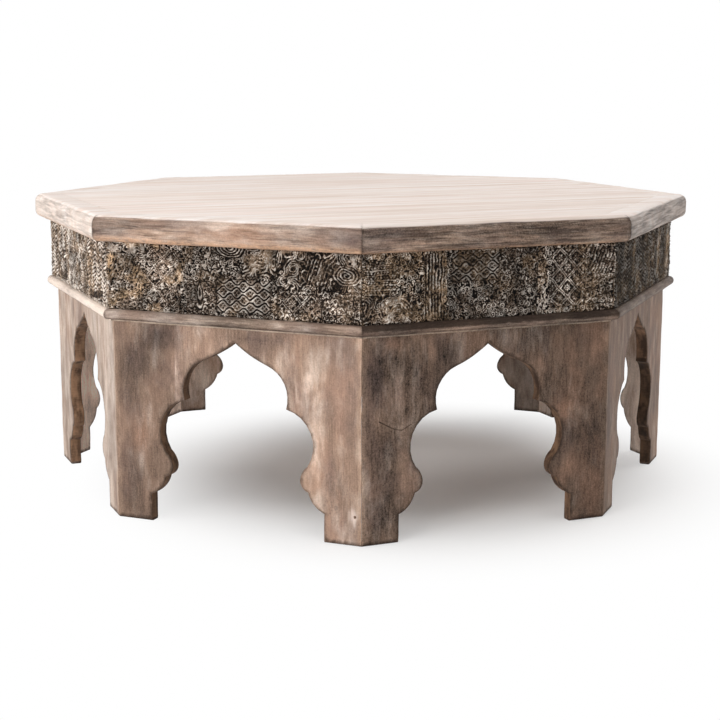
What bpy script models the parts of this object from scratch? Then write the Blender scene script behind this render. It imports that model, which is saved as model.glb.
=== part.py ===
"""Octagonal coffee table: a pale boarded top with mitred lippings on a skirt of
carved blocks, a rounded bead and eight side panels cut with cusped arches.

Metres, +Z up, the feet stand on z = 0 and the middle of the table is the origin.
Side 0 faces -Y and the sides count on anticlockwise seen from above.
"""
import math

import bmesh
import bpy
from mathutils import Vector
from mathutils.geometry import delaunay_2d_cdt

# Overall sizes of the table
SIDES = 8
TOP_FLATS = 1.000
LEG_HEIGHT = 0.295
BEAD_HEIGHT = 0.018
SKIRT_HEIGHT = 0.099
TOP_THICKNESS = 0.038

# Space left between two pieces that touch
JOINT_GAP = 0.0003

# Boarded top inside the lippings
LIPPING_WIDTH = 0.040
LIPPING_TOP_ROUND = 0.012
LIPPING_LOW_ROUND = 0.010
BOARD_COUNT = 7
BOARD_THICKNESS = 0.022
TONGUE_LENGTH = 0.008
TONGUE_THICKNESS = 0.007

# Battens that hold the boards flat and tie them to the side panels
BATTEN_SPACING = 0.280
BATTEN_WIDTH = 0.045
BATTEN_DEPTH = 0.028
BATTEN_CHAMFER = 0.006

# Carved blocks and the bead under them, measured in from the top's edge
SKIRT_OVERHANG = 0.020
BLOCK_THICKNESS = 0.010
BLOCK_JOINTS = (-0.071, 0.071)
BEAD_PROJECTION = 0.006
BEAD_ROUND = 0.0075
BEAD_FILLET_HEIGHT = 0.003
BEAD_FILLET_DEPTH = 0.004

# Main lines of the carving: how deep its grooves are cut, and the sizes of its motifs
CARVING_DEPTH = 0.0034
LATTICE_PITCH = 0.028
LATTICE_BAR = 0.0035
LATTICE_BOSS = 0.010
WAVE_PITCH = 0.024
WAVE_RISE = 0.0106
WAVE_BAR = 0.003
UPRIGHT_PITCH = 0.0058
UPRIGHT_WIDTH = 0.003
STROKE_PITCH = 0.0075
STROKE_WIDTH = 0.0038
STROKE_LEAN = 0.4
COURSE_PITCH = 0.0085
COURSE_WIDTH = 0.004
RING_WIDTH = 0.0028
RING_POINTS = 12
DROP_WIDTH = 0.026
DROP_LINE = 0.0034
DROP_POINTS = 10

# Side panels and the arch cut in each of them
PANEL_THICKNESS = 0.018
FOOT_WIDTH = 0.057
ARCH_CROWN = 0.019

# Shape of half an arch, from the apex down to the foot: share of the arch's half
# width, share of its height, and how far the arc to the next point bows out
# (positive into the wood, negative into the opening, as a share of half its chord)
ARCH_SHAPE = (
    (0.000, 1.000, -0.08),
    (0.370, 0.891, 0.40),
    (0.580, 0.674, 0.53),
    (0.815, 0.388, -0.18),
    (0.735, 0.318, -0.38),
    (0.822, 0.252, -0.24),
    (1.000, 0.149, 0.00),
)
ARC_STEPS = 8
ROUND_STEPS = 6
SHARP_ANGLE = math.radians(30.0)

# What is carved on a block: motifs, each with the left, low, right and high edge of
# its field as shares of the block's width and height
CARVING_SHARES = {
    "leaf_and_lattice": (("strokes", 0.04, 0.30, 0.44, 0.80), ("lattice", 0.47, 0.06, 0.97, 0.94)),
    "waves_and_drop": (("drops", 0.05, 0.08, 0.28, 0.58), ("waves", 0.32, 0.04, 0.97, 0.56),
                       ("rings", 0.36, 0.64, 0.64, 0.97)),
    "whorls": (("lattice", 0.03, 0.04, 0.58, 0.46), ("strokes", 0.34, 0.50, 0.62, 0.90),
               ("rings", 0.64, 0.42, 0.97, 0.92)),
    "borders": (("courses", 0.04, 0.40, 0.40, 0.84), ("drops", 0.04, 0.05, 0.66, 0.35),
                ("uprights", 0.72, 0.04, 0.97, 0.96)),
    "dark_lattice": (("waves", 0.03, 0.50, 0.58, 0.97), ("drops", 0.06, 0.06, 0.94, 0.40)),
    "rosettes": (("lattice", 0.14, 0.06, 0.62, 0.96), ("strokes", 0.66, 0.54, 0.97, 0.94)),
    "upright_strokes": (("uprights", 0.04, 0.05, 0.96, 0.95),),
    "open_lattice": (("lattice", 0.04, 0.05, 0.96, 0.95),),
}

# The carvings of each side's blocks, from left to right, from side 0 on
SIDE_CARVINGS = (
    ("borders", "dark_lattice", "rosettes"),
    ("upright_strokes", "upright_strokes", "open_lattice"),
    ("whorls", "leaf_and_lattice", "borders"),
    ("open_lattice", "waves_and_drop", "upright_strokes"),
    ("rosettes", "borders", "whorls"),
    ("dark_lattice", "open_lattice", "leaf_and_lattice"),
    ("upright_strokes", "rosettes", "upright_strokes"),
    ("leaf_and_lattice", "waves_and_drop", "whorls"),
)

# Heights and distances from the middle that follow from the sizes above
BEAD_TOP = LEG_HEIGHT + BEAD_HEIGHT
LIPPING_LOW = BEAD_TOP + SKIRT_HEIGHT
TOP_HEIGHT = LIPPING_LOW + TOP_THICKNESS
BOARD_LOW = TOP_HEIGHT - BOARD_THICKNESS
TONGUE_MIDDLE = TOP_HEIGHT - BOARD_THICKNESS / 2.0
TOP_EDGE = TOP_FLATS / 2.0
LIPPING_INSIDE = TOP_EDGE - LIPPING_WIDTH
BLOCK_FACE = TOP_EDGE - SKIRT_OVERHANG
PANEL_FACE = BLOCK_FACE - BLOCK_THICKNESS
PANEL_BACK = PANEL_FACE - PANEL_THICKNESS
BEAD_NOSE = BLOCK_FACE + BEAD_PROJECTION
CARVING_CREST = BLOCK_FACE
CARVING_GROUND = BLOCK_FACE - CARVING_DEPTH / 2.0
CARVING_GROOVE = BLOCK_FACE - CARVING_DEPTH
SIDE_TURN = 2.0 * math.pi / SIDES
MITRE_SLOPE = math.tan(SIDE_TURN / 2.0)


def clear_scene():
    """Empty the scene so that the table is all it holds."""
    for item in list(bpy.data.objects):
        bpy.data.objects.remove(item, do_unlink=True)


def make_material(name, colour, roughness):
    """Return a plain painted or bare wood material."""
    material = bpy.data.materials.new(name)
    material.use_nodes = True
    shader = material.node_tree.nodes["Principled BSDF"]
    shader.inputs["Base Color"].default_value = (*colour, 1.0)
    shader.inputs["Roughness"].default_value = roughness
    shader.inputs["Metallic"].default_value = 0.0
    material.diffuse_color = (*colour, 1.0)
    return material


def add_table():
    """Add the empty that every piece of the table hangs on."""
    table = bpy.data.objects.new("table", None)
    bpy.context.scene.collection.objects.link(table)
    return table


def add_piece(table, name, shape, material, side=0):
    """Add the shape as a piece of the table, turned to the side it belongs to."""
    bmesh.ops.recalc_face_normals(shape, faces=shape.faces[:])
    mesh = bpy.data.meshes.new(name)
    shape.to_mesh(mesh)
    shape.free()
    mesh.materials.append(material)
    mesh.shade_smooth()
    mesh.set_sharp_from_angle(angle=SHARP_ANGLE)
    piece = bpy.data.objects.new(name, mesh)
    piece.rotation_euler = (0.0, 0.0, side * SIDE_TURN)
    piece.parent = table
    bpy.context.scene.collection.objects.link(piece)
    return piece


def arc(start, end, bow, steps):
    """Points after start up to end, on an arc that bows to the left of the way."""
    if bow == 0.0:
        return [end]
    along = ((end[0] - start[0]) / 2.0, (end[1] - start[1]) / 2.0)
    middle = (start[0] + along[0], start[1] + along[1])
    offset = (bow - 1.0 / bow) / 2.0
    centre = (middle[0] - along[1] * offset, middle[1] + along[0] * offset)
    first = math.atan2(start[1] - centre[1], start[0] - centre[0])
    radius = math.dist(start, centre)
    turn = -4.0 * math.atan(bow)
    points = []
    for step in range(1, steps):
        angle = first + turn * step / steps
        points.append((centre[0] + radius * math.cos(angle), centre[1] + radius * math.sin(angle)))
    points.append(end)
    return points


def loft(front, back):
    """Closed body between two outlines with the same number of points."""
    shape = bmesh.new()
    near = [shape.verts.new(point) for point in front]
    far = [shape.verts.new(point) for point in back]
    shape.faces.new(near)
    shape.faces.new(far)
    count = len(near)
    for index in range(count):
        after = (index + 1) % count
        shape.faces.new((near[index], near[after], far[after], far[index]))
    return shape


def mitred_length(section):
    """Length of section along side 0 with both ends mitred to the next sides.

    The section is a list of (distance from the middle, height).
    """
    left = []
    right = []
    for out, height in section:
        half = out * MITRE_SLOPE - JOINT_GAP / 2.0
        left.append((-half, -out, height))
        right.append((half, -out, height))
    return loft(left, right)


def lipping_section():
    """Edge of the top: rounded outside, grooved inside for the boards' tongue."""
    half_groove = TONGUE_THICKNESS / 2.0 + JOINT_GAP
    quarter = math.tan(math.pi / 8.0)
    section = [(LIPPING_INSIDE, LIPPING_LOW)]
    low = (TOP_EDGE - LIPPING_LOW_ROUND, LIPPING_LOW)
    section.append(low)
    section += arc(low, (TOP_EDGE, LIPPING_LOW + LIPPING_LOW_ROUND), -quarter, ROUND_STEPS)
    high = (TOP_EDGE, TOP_HEIGHT - LIPPING_TOP_ROUND)
    section.append(high)
    section += arc(high, (TOP_EDGE - LIPPING_TOP_ROUND, TOP_HEIGHT), -quarter, ROUND_STEPS)
    section.append((LIPPING_INSIDE, TOP_HEIGHT))
    section.append((LIPPING_INSIDE, TONGUE_MIDDLE + half_groove))
    section.append((LIPPING_INSIDE + TONGUE_LENGTH, TONGUE_MIDDLE + half_groove))
    section.append((LIPPING_INSIDE + TONGUE_LENGTH, TONGUE_MIDDLE - half_groove))
    section.append((LIPPING_INSIDE, TONGUE_MIDDLE - half_groove))
    return section


def bead_section():
    """Rounded moulding with a small square fillet along its lower edge."""
    back = PANEL_FACE + JOINT_GAP
    fillet = PANEL_FACE + BEAD_FILLET_DEPTH
    fillet_top = LEG_HEIGHT + BEAD_FILLET_HEIGHT
    middle = (fillet_top + BEAD_TOP) / 2.0
    section = [(back, LEG_HEIGHT), (fillet, LEG_HEIGHT), (fillet, fillet_top)]
    for step in range(2 * ROUND_STEPS + 1):
        angle = math.pi * (step / (2.0 * ROUND_STEPS) - 0.5)
        out = BEAD_NOSE - BEAD_ROUND + BEAD_ROUND * math.cos(angle)
        section.append((out, middle + (BEAD_TOP - middle) * math.sin(angle)))
    section.append((back, BEAD_TOP))
    return section


def arch_half(half_width, height):
    """Right half of the arch, from the apex down to the floor."""
    points = [(share * half_width, rise * height) for share, rise, bow in ARCH_SHAPE]
    outline = [points[0]]
    for index in range(len(points) - 1):
        outline += arc(points[index], points[index + 1], ARCH_SHAPE[index][2], ARC_STEPS)
    outline.append((half_width, 0.0))
    return outline


def panel_shape():
    """Side panel on side 0, mitred at its upright edges, with its arch cut out."""
    half_width = PANEL_FACE * MITRE_SLOPE - FOOT_WIDTH
    right = arch_half(half_width, LEG_HEIGHT - ARCH_CROWN)
    left = [(-across, height) for across, height in reversed(right)]
    arch = left + right[1:]
    top = LIPPING_LOW - JOINT_GAP
    outlines = []
    for out in (PANEL_FACE, PANEL_BACK):
        half = out * MITRE_SLOPE - JOINT_GAP / 2.0
        flat = [(-half, 0.0)] + arch + [(half, 0.0), (half, top), (-half, top)]
        outlines.append([(across, -out, height) for across, height in flat])
    return loft(outlines[0], outlines[1])


def rectangle(left, low, right, high):
    """Outline of an upright rectangle."""
    return [(left, low), (right, low), (right, high), (left, high)]


def diamond(across, height, reach, rise):
    """Outline of a diamond about a middle."""
    left, right = (across - reach, height), (across + reach, height)
    return [left, (across, height - rise), right, (across, height + rise)]


def centred(low, high, step):
    """Where a row of whole steps starts when it lies in the middle between two ends, and their number."""
    count = int((high - low) / step)
    return (low + high - count * step) / 2.0, count


def chequered(left, low, right, high, reach, rise):
    """Raised field of every second cell of a grid, as its outline and the middles of those cells."""
    left, columns = centred(left, right, reach)
    low, rows = centred(low, high, rise)
    field = rectangle(left, low, left + columns * reach, low + rows * rise)
    middles = []
    for column in range(1, columns):
        for row in range(1, rows):
            if (column + row) % 2 == 0:
                middles.append((left + column * reach, low + row * rise))
    return field, middles


def lattice(left, low, right, high):
    """Raised field with slanted rows of sunk diamonds, and a boss in each."""
    reach = LATTICE_PITCH / 2.0
    cell = reach - LATTICE_BAR
    boss = LATTICE_BOSS / 2.0
    field, middles = chequered(left, low, right, high, reach, reach)
    cuts = [(field, CARVING_CREST)]
    for middle in middles:
        cuts.append((diamond(*middle, cell, cell), CARVING_GROOVE))
        cuts.append((diamond(*middle, boss, boss), CARVING_CREST))
    return cuts


def waves(left, low, right, high):
    """Raised field with rows of sunk cells, every second row set over by half a cell."""
    reach = WAVE_PITCH / 2.0
    field, middles = chequered(left, low, right, high, reach, WAVE_RISE)
    cuts = [(field, CARVING_CREST)]
    for middle in middles:
        cuts.append((diamond(*middle, reach - WAVE_BAR, WAVE_RISE - WAVE_BAR / 2.0), CARVING_GROOVE))
    return cuts


def bars(left, low, right, high, pitch, width, lean=0.0):
    """Raised bars side by side that lean over by a share of their height."""
    shift = lean * (high - low)
    cuts = []
    for number in range(int((right - left - shift - width) / pitch) + 1):
        near = left + number * pitch
        far = near + width
        cuts.append(([(near, low), (far, low), (far + shift, high), (near + shift, high)], CARVING_CREST))
    return cuts


def uprights(left, low, right, high):
    """Raised bars that stand upright."""
    return bars(left, low, right, high, UPRIGHT_PITCH, UPRIGHT_WIDTH)


def strokes(left, low, right, high):
    """Raised bars that slant."""
    return bars(left, low, right, high, STROKE_PITCH, STROKE_WIDTH, STROKE_LEAN)


def courses(left, low, right, high):
    """Raised bars that lie level."""
    cuts = []
    for outline, out in bars(low, left, high, right, COURSE_PITCH, COURSE_WIDTH):
        cuts.append(([(across, height) for height, across in reversed(outline)], out))
    return cuts


def nested(outline_at, size, line):
    """Outlines one inside the other, a line's width apart, raised and sunk by turns."""
    cuts = []
    while size > line:
        level = CARVING_GROOVE if len(cuts) % 2 else CARVING_CREST
        cuts.append((outline_at(size), level))
        size -= line
    return cuts


def rings(left, low, right, high):
    """Rings about the middle of the field."""
    middle = ((left + right) / 2.0, (low + high) / 2.0)

    def ring(radius):
        outline = []
        for step in range(RING_POINTS):
            angle = 2.0 * math.pi * step / RING_POINTS
            outline.append((middle[0] + radius * math.cos(angle), middle[1] + radius * math.sin(angle)))
        return outline

    return nested(ring, min(right - left, high - low) / 2.0, RING_WIDTH)


def drops(left, low, right, high):
    """A row of drops as tall as the field, with lines inside them."""
    count = max(1, int((right - left) / DROP_WIDTH))
    half_height = (high - low) / 2.0
    cuts = []
    for number in range(count):
        middle = (left + (number + 0.5) * (right - left) / count, low + half_height)

        def drop(half_width):
            outline = []
            share = half_width * 2.0 / DROP_WIDTH
            for step in range(DROP_POINTS):
                angle = 2.0 * math.pi * step / DROP_POINTS
                swell = half_width * math.sin(angle) * math.sin(angle / 2.0)
                outline.append((middle[0] - swell, middle[1] + share * half_height * math.cos(angle)))
            return outline

        cuts += nested(drop, DROP_WIDTH / 2.0, DROP_LINE)
    return cuts


MOTIFS = {motif.__name__: motif for motif in (lattice, waves, uprights, strokes, courses, rings, drops)}


def inside(point, outline):
    """Whether a point lies inside an outline."""
    crossings = 0
    for start, end in zip(outline, outline[1:] + outline[:1]):
        if (start[1] > point[1]) != (end[1] > point[1]):
            share = (point[1] - start[1]) / (end[1] - start[1])
            crossings += point[0] < start[0] + share * (end[0] - start[0])
    return crossings % 2 == 1


def carve_face(shape, rim, cuts):
    """Close a block's rim with a face that is raised or sunk inside each cut's outline.

    A cut may lie inside one that comes before it, and is clear of all the others.
    """
    flat = [(corner.co.x, corner.co.z) for corner in rim]
    outer, inner = list(rim), list(rim)
    owners = [None] * len(rim)
    loops = [list(range(len(rim)))]
    for number, (outline, out) in enumerate(cuts):
        around = CARVING_GROUND
        for other, level in cuts[:number]:
            if inside(outline[0], other):
                around = level
        loop = list(range(len(flat), len(flat) + len(outline)))
        flat += outline
        outer += [shape.verts.new((across, -around, height)) for across, height in outline]
        inner += [shape.verts.new((across, -out, height)) for across, height in outline]
        owners += [number] * len(outline)
        loops.append(loop)
        for here, there in zip(loop, loop[1:] + loop[:1]):
            shape.faces.new((outer[here], outer[there], inner[there], inner[here]))
    for corners in delaunay_2d_cdt([Vector(point) for point in flat], [], loops, 1, JOINT_GAP / 1000.0)[2]:
        middle = [sum(flat[corner][axis] for corner in corners) / len(corners) for axis in (0, 1)]
        holders = [number for number, cut in enumerate(cuts) if inside(middle, cut[0])]
        shape.faces.new([(inner if owners[corner] in holders else outer)[corner] for corner in corners])


def block_shape(index, carving):
    """One carved block on side 0, mitred where it meets a corner."""
    low = BEAD_TOP + JOINT_GAP
    high = LIPPING_LOW - JOINT_GAP
    shape = bmesh.new()
    rims = []
    for out in (CARVING_GROUND, PANEL_FACE + JOINT_GAP):
        corner = out * MITRE_SLOPE
        stops = (-corner, *BLOCK_JOINTS, corner)
        start = stops[index] + JOINT_GAP / 2.0
        end = stops[index + 1] - JOINT_GAP / 2.0
        corners = rectangle(start, low, end, high)
        rims.append([shape.verts.new((across, -out, height)) for across, height in corners])
    front, back = rims
    shape.faces.new(back)
    for here in range(len(front)):
        after = (here + 1) % len(front)
        shape.faces.new((front[here], front[after], back[after], back[here]))
    left, width = front[0].co.x, front[1].co.x - front[0].co.x
    cuts = []
    for motif, *edges in CARVING_SHARES[carving]:
        across = [left + share * width for share in edges[0::2]]
        heights = [low + share * (high - low) for share in edges[1::2]]
        cuts += MOTIFS[motif](across[0], heights[0], across[1], heights[1])
    carve_face(shape, front, cuts)
    return shape


def tongued_octagon():
    """The whole boarded field with the tongue that enters the lippings."""
    field = LIPPING_INSIDE - JOINT_GAP
    tongue = field + TONGUE_LENGTH
    low = TONGUE_MIDDLE - TONGUE_THICKNESS / 2.0
    high = TONGUE_MIDDLE + TONGUE_THICKNESS / 2.0
    rings = [(field, BOARD_LOW), (field, low), (tongue, low)]
    rings += [(tongue, high), (field, high), (field, TOP_HEIGHT)]
    shape = bmesh.new()
    loops = []
    for out, height in rings:
        reach = out / math.cos(SIDE_TURN / 2.0)
        corners = []
        for corner in range(SIDES):
            angle = (corner + 0.5) * SIDE_TURN - math.pi / 2.0
            corners.append(shape.verts.new((reach * math.cos(angle), reach * math.sin(angle), height)))
        loops.append(corners)
    shape.faces.new(loops[0])
    shape.faces.new(loops[-1])
    for below, above in zip(loops, loops[1:]):
        for corner in range(SIDES):
            after = (corner + 1) % SIDES
            shape.faces.new((below[corner], below[after], above[after], above[corner]))
    return shape


def board_section(index):
    """Cross section of one board as (y, z): groove on its low side, tongue on its high side."""
    reach = TOP_FLATS
    width = 2.0 * LIPPING_INSIDE / BOARD_COUNT
    near = -LIPPING_INSIDE + index * width + JOINT_GAP / 2.0
    far = -LIPPING_INSIDE + (index + 1) * width - JOINT_GAP / 2.0
    half = TONGUE_THICKNESS / 2.0
    first = index == 0
    last = index == BOARD_COUNT - 1
    low = BOARD_LOW - TONGUE_LENGTH
    high = TOP_HEIGHT + TONGUE_LENGTH
    section = [(-reach if first else near, low)]
    if last:
        section += [(reach, low), (reach, high)]
    else:
        section += [(far, low), (far, TONGUE_MIDDLE - half), (far + TONGUE_LENGTH, TONGUE_MIDDLE - half)]
        section += [(far + TONGUE_LENGTH, TONGUE_MIDDLE + half), (far, TONGUE_MIDDLE + half), (far, high)]
    section.append((-reach if first else near, high))
    if not first:
        groove = half + JOINT_GAP
        section += [(near, TONGUE_MIDDLE + groove), (near + TONGUE_LENGTH, TONGUE_MIDDLE + groove)]
        section += [(near + TONGUE_LENGTH, TONGUE_MIDDLE - groove), (near, TONGUE_MIDDLE - groove)]
    return section


def board_strip(index):
    """One board as a strip across the whole table, before its ends are cut."""
    section = board_section(index)
    return loft([(-TOP_FLATS, y, z) for y, z in section], [(TOP_FLATS, y, z) for y, z in section])


def batten_end(edge, way):
    """How far a batten edge at x = edge reaches along Y, way +1 or -1, inside the panels."""
    reach = PANEL_BACK - JOINT_GAP
    ends = []
    for side in range(SIDES):
        facing = (math.sin(side * SIDE_TURN), -math.cos(side * SIDE_TURN))
        slope = way * facing[1]
        if slope > 0.0:
            ends.append((reach - edge * facing[0]) / slope)
    return way * min(ends)


def batten_shape(middle):
    """Batten under the boards along Y, from the panel on one side to the one opposite."""
    top = BOARD_LOW - JOINT_GAP
    low = top - BATTEN_DEPTH
    half = BATTEN_WIDTH / 2.0
    edges = (middle - half, middle + half)
    near = max(batten_end(edge, -1.0) for edge in edges)
    far = min(batten_end(edge, 1.0) for edge in edges)
    section = [(middle - half, top), (middle - half, low + BATTEN_CHAMFER)]
    section += [(middle - half + BATTEN_CHAMFER, low), (middle + half - BATTEN_CHAMFER, low)]
    section += [(middle + half, low + BATTEN_CHAMFER), (middle + half, top)]
    return loft([(x, near, z) for x, z in section], [(x, far, z) for x, z in section])


def build_top(table, board_wood, lipping_wood, hidden_wood):
    """Boards, lippings and battens."""
    field = add_piece(table, "boarded_field", tongued_octagon(), board_wood)
    for index in range(BOARD_COUNT):
        board = add_piece(table, "top_board_%d" % (index + 1), board_strip(index), board_wood)
        cut = board.modifiers.new("ends_cut_to_octagon", "BOOLEAN")
        cut.operation = "INTERSECT"
        cut.solver = "EXACT"
        cut.object = field
    field.hide_render = True
    field.display_type = "WIRE"
    for side in range(SIDES):
        add_piece(table, "top_lipping_%d" % (side + 1), mitred_length(lipping_section()), lipping_wood, side)
    for number, middle in enumerate((-BATTEN_SPACING / 2.0, BATTEN_SPACING / 2.0)):
        add_piece(table, "top_batten_%d" % (number + 1), batten_shape(middle), hidden_wood)


def build_base(table, panel_wood, bead_wood, block_wood):
    """Side panels with the beads and carved blocks planted on them."""
    for side in range(SIDES):
        add_piece(table, "side_panel_%d" % (side + 1), panel_shape(), panel_wood, side)
        add_piece(table, "bead_%d" % (side + 1), mitred_length(bead_section()), bead_wood, side)
        carvings = SIDE_CARVINGS[side % len(SIDE_CARVINGS)]
        for index in range(len(BLOCK_JOINTS) + 1):
            name = "carved_block_%d%s" % (side + 1, chr(ord("a") + index))
            add_piece(table, name, block_shape(index, carvings[index % len(carvings)]), block_wood, side)


def main():
    """Build the whole table."""
    clear_scene()
    board_wood = make_material("whitewashed_mango_boards", (0.62, 0.52, 0.44), 0.62)
    lipping_wood = make_material("mango_lipping", (0.36, 0.26, 0.19), 0.58)
    hidden_wood = make_material("sawn_mango_batten", (0.40, 0.29, 0.20), 0.75)
    panel_wood = make_material("greyed_mango_panel", (0.27, 0.20, 0.155), 0.62)
    bead_wood = make_material("greyed_mango_bead", (0.25, 0.19, 0.15), 0.60)
    block_wood = make_material("carved_printing_block", (0.13, 0.105, 0.085), 0.72)
    table = add_table()
    build_top(table, board_wood, lipping_wood, hidden_wood)
    build_base(table, panel_wood, bead_wood, block_wood)


main()
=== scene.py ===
"""Dresses the octagonal carved coffee table: limewashed top, stained arched sides, old printing blocks."""
import math

import bmesh
import bpy
import numpy as np
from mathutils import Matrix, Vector
from mathutils.geometry import delaunay_2d_cdt


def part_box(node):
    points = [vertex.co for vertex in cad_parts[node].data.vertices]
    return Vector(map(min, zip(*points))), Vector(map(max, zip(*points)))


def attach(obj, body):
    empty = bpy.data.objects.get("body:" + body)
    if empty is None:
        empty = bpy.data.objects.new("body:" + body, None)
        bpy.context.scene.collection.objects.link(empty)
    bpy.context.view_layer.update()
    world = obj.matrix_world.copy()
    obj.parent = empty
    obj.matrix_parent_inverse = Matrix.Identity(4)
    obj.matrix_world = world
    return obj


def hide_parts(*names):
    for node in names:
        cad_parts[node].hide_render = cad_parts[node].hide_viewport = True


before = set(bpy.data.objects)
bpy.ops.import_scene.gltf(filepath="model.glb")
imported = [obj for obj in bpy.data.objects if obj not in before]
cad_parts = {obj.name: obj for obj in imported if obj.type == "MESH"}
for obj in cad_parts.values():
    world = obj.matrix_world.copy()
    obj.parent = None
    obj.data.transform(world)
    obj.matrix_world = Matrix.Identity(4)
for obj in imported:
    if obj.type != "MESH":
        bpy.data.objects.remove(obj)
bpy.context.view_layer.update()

bl_info = {
    "name": "Carved octagonal coffee table",
    "version": (1, 0, 0),
    "blender": (4, 5, 0),
    "location": "View3D > Sidebar > Carved table",
    "description": "Builds the finished pieces of a low table with arched sides and a skirt of carved blocks",
    "category": "Add Mesh",
}

MM = 0.001
SIDES = 8
SIDE_TURN = 2 * math.pi / SIDES
MITRE_SLOPE = math.tan(SIDE_TURN / 2)
BOARDS = 7
BATTENS = 2
BLOCK_LETTERS = "abc"

# Edges of the CAD solids: those longer or taller than this are cut into short ones, and those that turn
# further than this are eased. Points closer than the gap are one point
LONG_EDGE, LENGTH_CUTS = 0.3, 40
TALL_EDGE, HEIGHT_CUTS = 10 * MM, 4
SHARP_ANGLE = math.radians(48)
WELD_GAP = 0.01 * MM
# Edges of the finished pieces that turn further than this show as edges
SMOOTH_ANGLE = math.radians(38)
BLOCK_SMOOTH_ANGLE = math.radians(75)
# The spacing of the points inside a panel and on its outline, and the height where its cut edge changes
# tone, so that light can be painted on its upper part
PANEL_GRID = 9 * MM
OUTLINE_STEP = 4 * MM
EDGE_SPLIT = 192 * MM
# How a panel's face is filled with triangles: those inside its outline only, and points this close are one
FILL_INSIDE, FILL_GAP = 1, 1e-7
# Height above the floor over which hand work starts to lift points, so that the feet stay level
LEVEL_FEET = 0.03
# Seeds of the random figure of each kind of piece, and how far it is shifted, in metres
BOARD_SEED, LIPPING_SEED, BATTEN_SEED, PANEL_SEED, BEAD_SEED = 11, 40, 60, 80, 100
SHIFT_REACH = 4.0
# A tone of 0.5 leaves a wood's colour as it is
TONE_SCALE = 2.0

# Planes of the CAD model, read from the side that faces -Y
PANEL_LOW, PANEL_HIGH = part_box("side_panel_1")
BLOCK_LOW, BLOCK_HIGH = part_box("carved_block_1b")
PANEL_FACE = -PANEL_LOW.y
BLOCK_FACE = -BLOCK_LOW.y
BLOCK_BACK = -BLOCK_HIGH.y
BLOCK_GAP = (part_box("carved_block_1b")[0].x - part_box("carved_block_1a")[1].x) / 2
BEAD_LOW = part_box("bead_1")[0].z
LIPPING_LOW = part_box("top_lipping_1")[0].z
LIPPING_INSIDE = -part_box("top_lipping_1")[1].y
TOP_EDGE = -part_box("top_lipping_1")[0].y
TOP_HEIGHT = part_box("top_board_4")[1].z


def linear(code):
    """An sRGB hex colour as the linear red, green, blue and alpha that Blender works in."""
    parts = [int(code[place:place + 2], 16) / 255 for place in (0, 2, 4)]
    return tuple(p / 12.92 if p <= 0.04045 else ((p + 0.055) / 1.055) ** 2.4 for p in parts) + (1.0,)


def length(name, description, millimetres):
    """A size that a user can change, given in millimetres."""
    return bpy.props.FloatProperty(name=name, description=description, default=millimetres * MM, min=0,
                                   precision=4, subtype="DISTANCE", unit="LENGTH")


def colour(name, description, code):
    """A colour that a user can change, given as sRGB hex."""
    return bpy.props.FloatVectorProperty(name=name, description=description, default=linear(code), size=4,
                                         min=0, max=1, subtype="COLOR")


class TableSizes(bpy.types.PropertyGroup):
    """Sizes of the worked surfaces."""
    board_ease: length("Board edges", "Width of the rubbed edge of a top board", 0.3)
    mitre_ease: length("Mitre edges", "Width of the rubbed edge where lippings and beads meet", 0.5)
    panel_ease: length("Panel edges", "Width of the rubbed edge of an arched side panel", 1.6)
    rub_width: length("Rubbed border", "How far wear reaches in from an edge", 3.0)
    wobble: length("Hand work", "How far hand-worked edges stray from straight", 0.35)
    carving_depth: length("Carving depth", "Depth of the grooves cut in the printing blocks", 3.4)
    carving_step: length("Carving step", "Spacing of the points that describe the carving", 0.75)
    seam_place: length("Panel seam", "Distance from a panel's middle to its glued seams", 95.0)


class TableColours(bpy.types.PropertyGroup):
    """Colours of the finishes."""
    top_dark: colour("Top, dark grain", "Late wood under the limewash", "DBC7BA")
    top_mid: colour("Top, ground", "Limewashed mango", "EDE0D7")
    top_pink: colour("Top, pink grain", "Heartwood under the limewash", "EEDBD3")
    top_light: colour("Top, pale grain", "Early wood full of limewash", "F4EEEB")
    lipping_dark: colour("Lipping, dark grain", "Stain left in the late wood", "483A32")
    lipping_mid: colour("Lipping, ground", "Stained mango", "A08775")
    lipping_light: colour("Lipping, pale grain", "Rubbed early wood", "CDBAA9")
    lipping_bare: colour("Lipping, bare wood", "Brown where the stain is rubbed off", "BE987C")
    panel_dark: colour("Panel, dark grain", "Stain left in the late wood", "624E43")
    panel_mid: colour("Panel, ground", "Stained mango", "8E7666")
    panel_light: colour("Panel, pale grain", "Rubbed early wood", "B89C86")
    bead_dark: colour("Bead, dark grain", "Stain left in the late wood", "55463D")
    bead_mid: colour("Bead, ground", "Stained mango", "867467")
    bead_light: colour("Bead, pale grain", "Rubbed early wood", "B9A795")
    limewash: colour("Limewash", "White wash that stays in the grain", "CFC3B8")
    mauve: colour("Grey stain", "Mauve grey where the stain lies thick", "6A5953")
    warm: colour("Bare wood", "Brown where the stain is rubbed through", "9C7A66")
    # This dark colour also paints the shade under the beads and in the crease of each bead
    soot_and_shade: colour("Dirt", "Old dirt in corners and joints", "2C231E")
    sawn_dark: colour("Sawn edge, dark", "Scorched and stained saw cuts", "3A2B22")
    sawn_light: colour("Sawn edge, light", "Bare wood in the saw cuts", "7C604B")
    groove: colour("Carving, grooves", "Old ink in the cut grooves", "0B0807")
    slope: colour("Carving, slopes", "Ink-stained wood beside the lines", "5C4D41")
    crest: colour("Carving, crests", "Worn and limed tops of the lines", "C5BEB6")
    bare: colour("Carving, bare spots", "Wood with the pattern worn off", "836C53")


# Mesh helpers

def ease(low, high, value):
    """A smooth step from 0 at low to 1 at high."""
    share = np.clip((value - low) / (high - low), 0.0, 1.0)
    return share * share * (3.0 - 2.0 * share)


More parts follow.
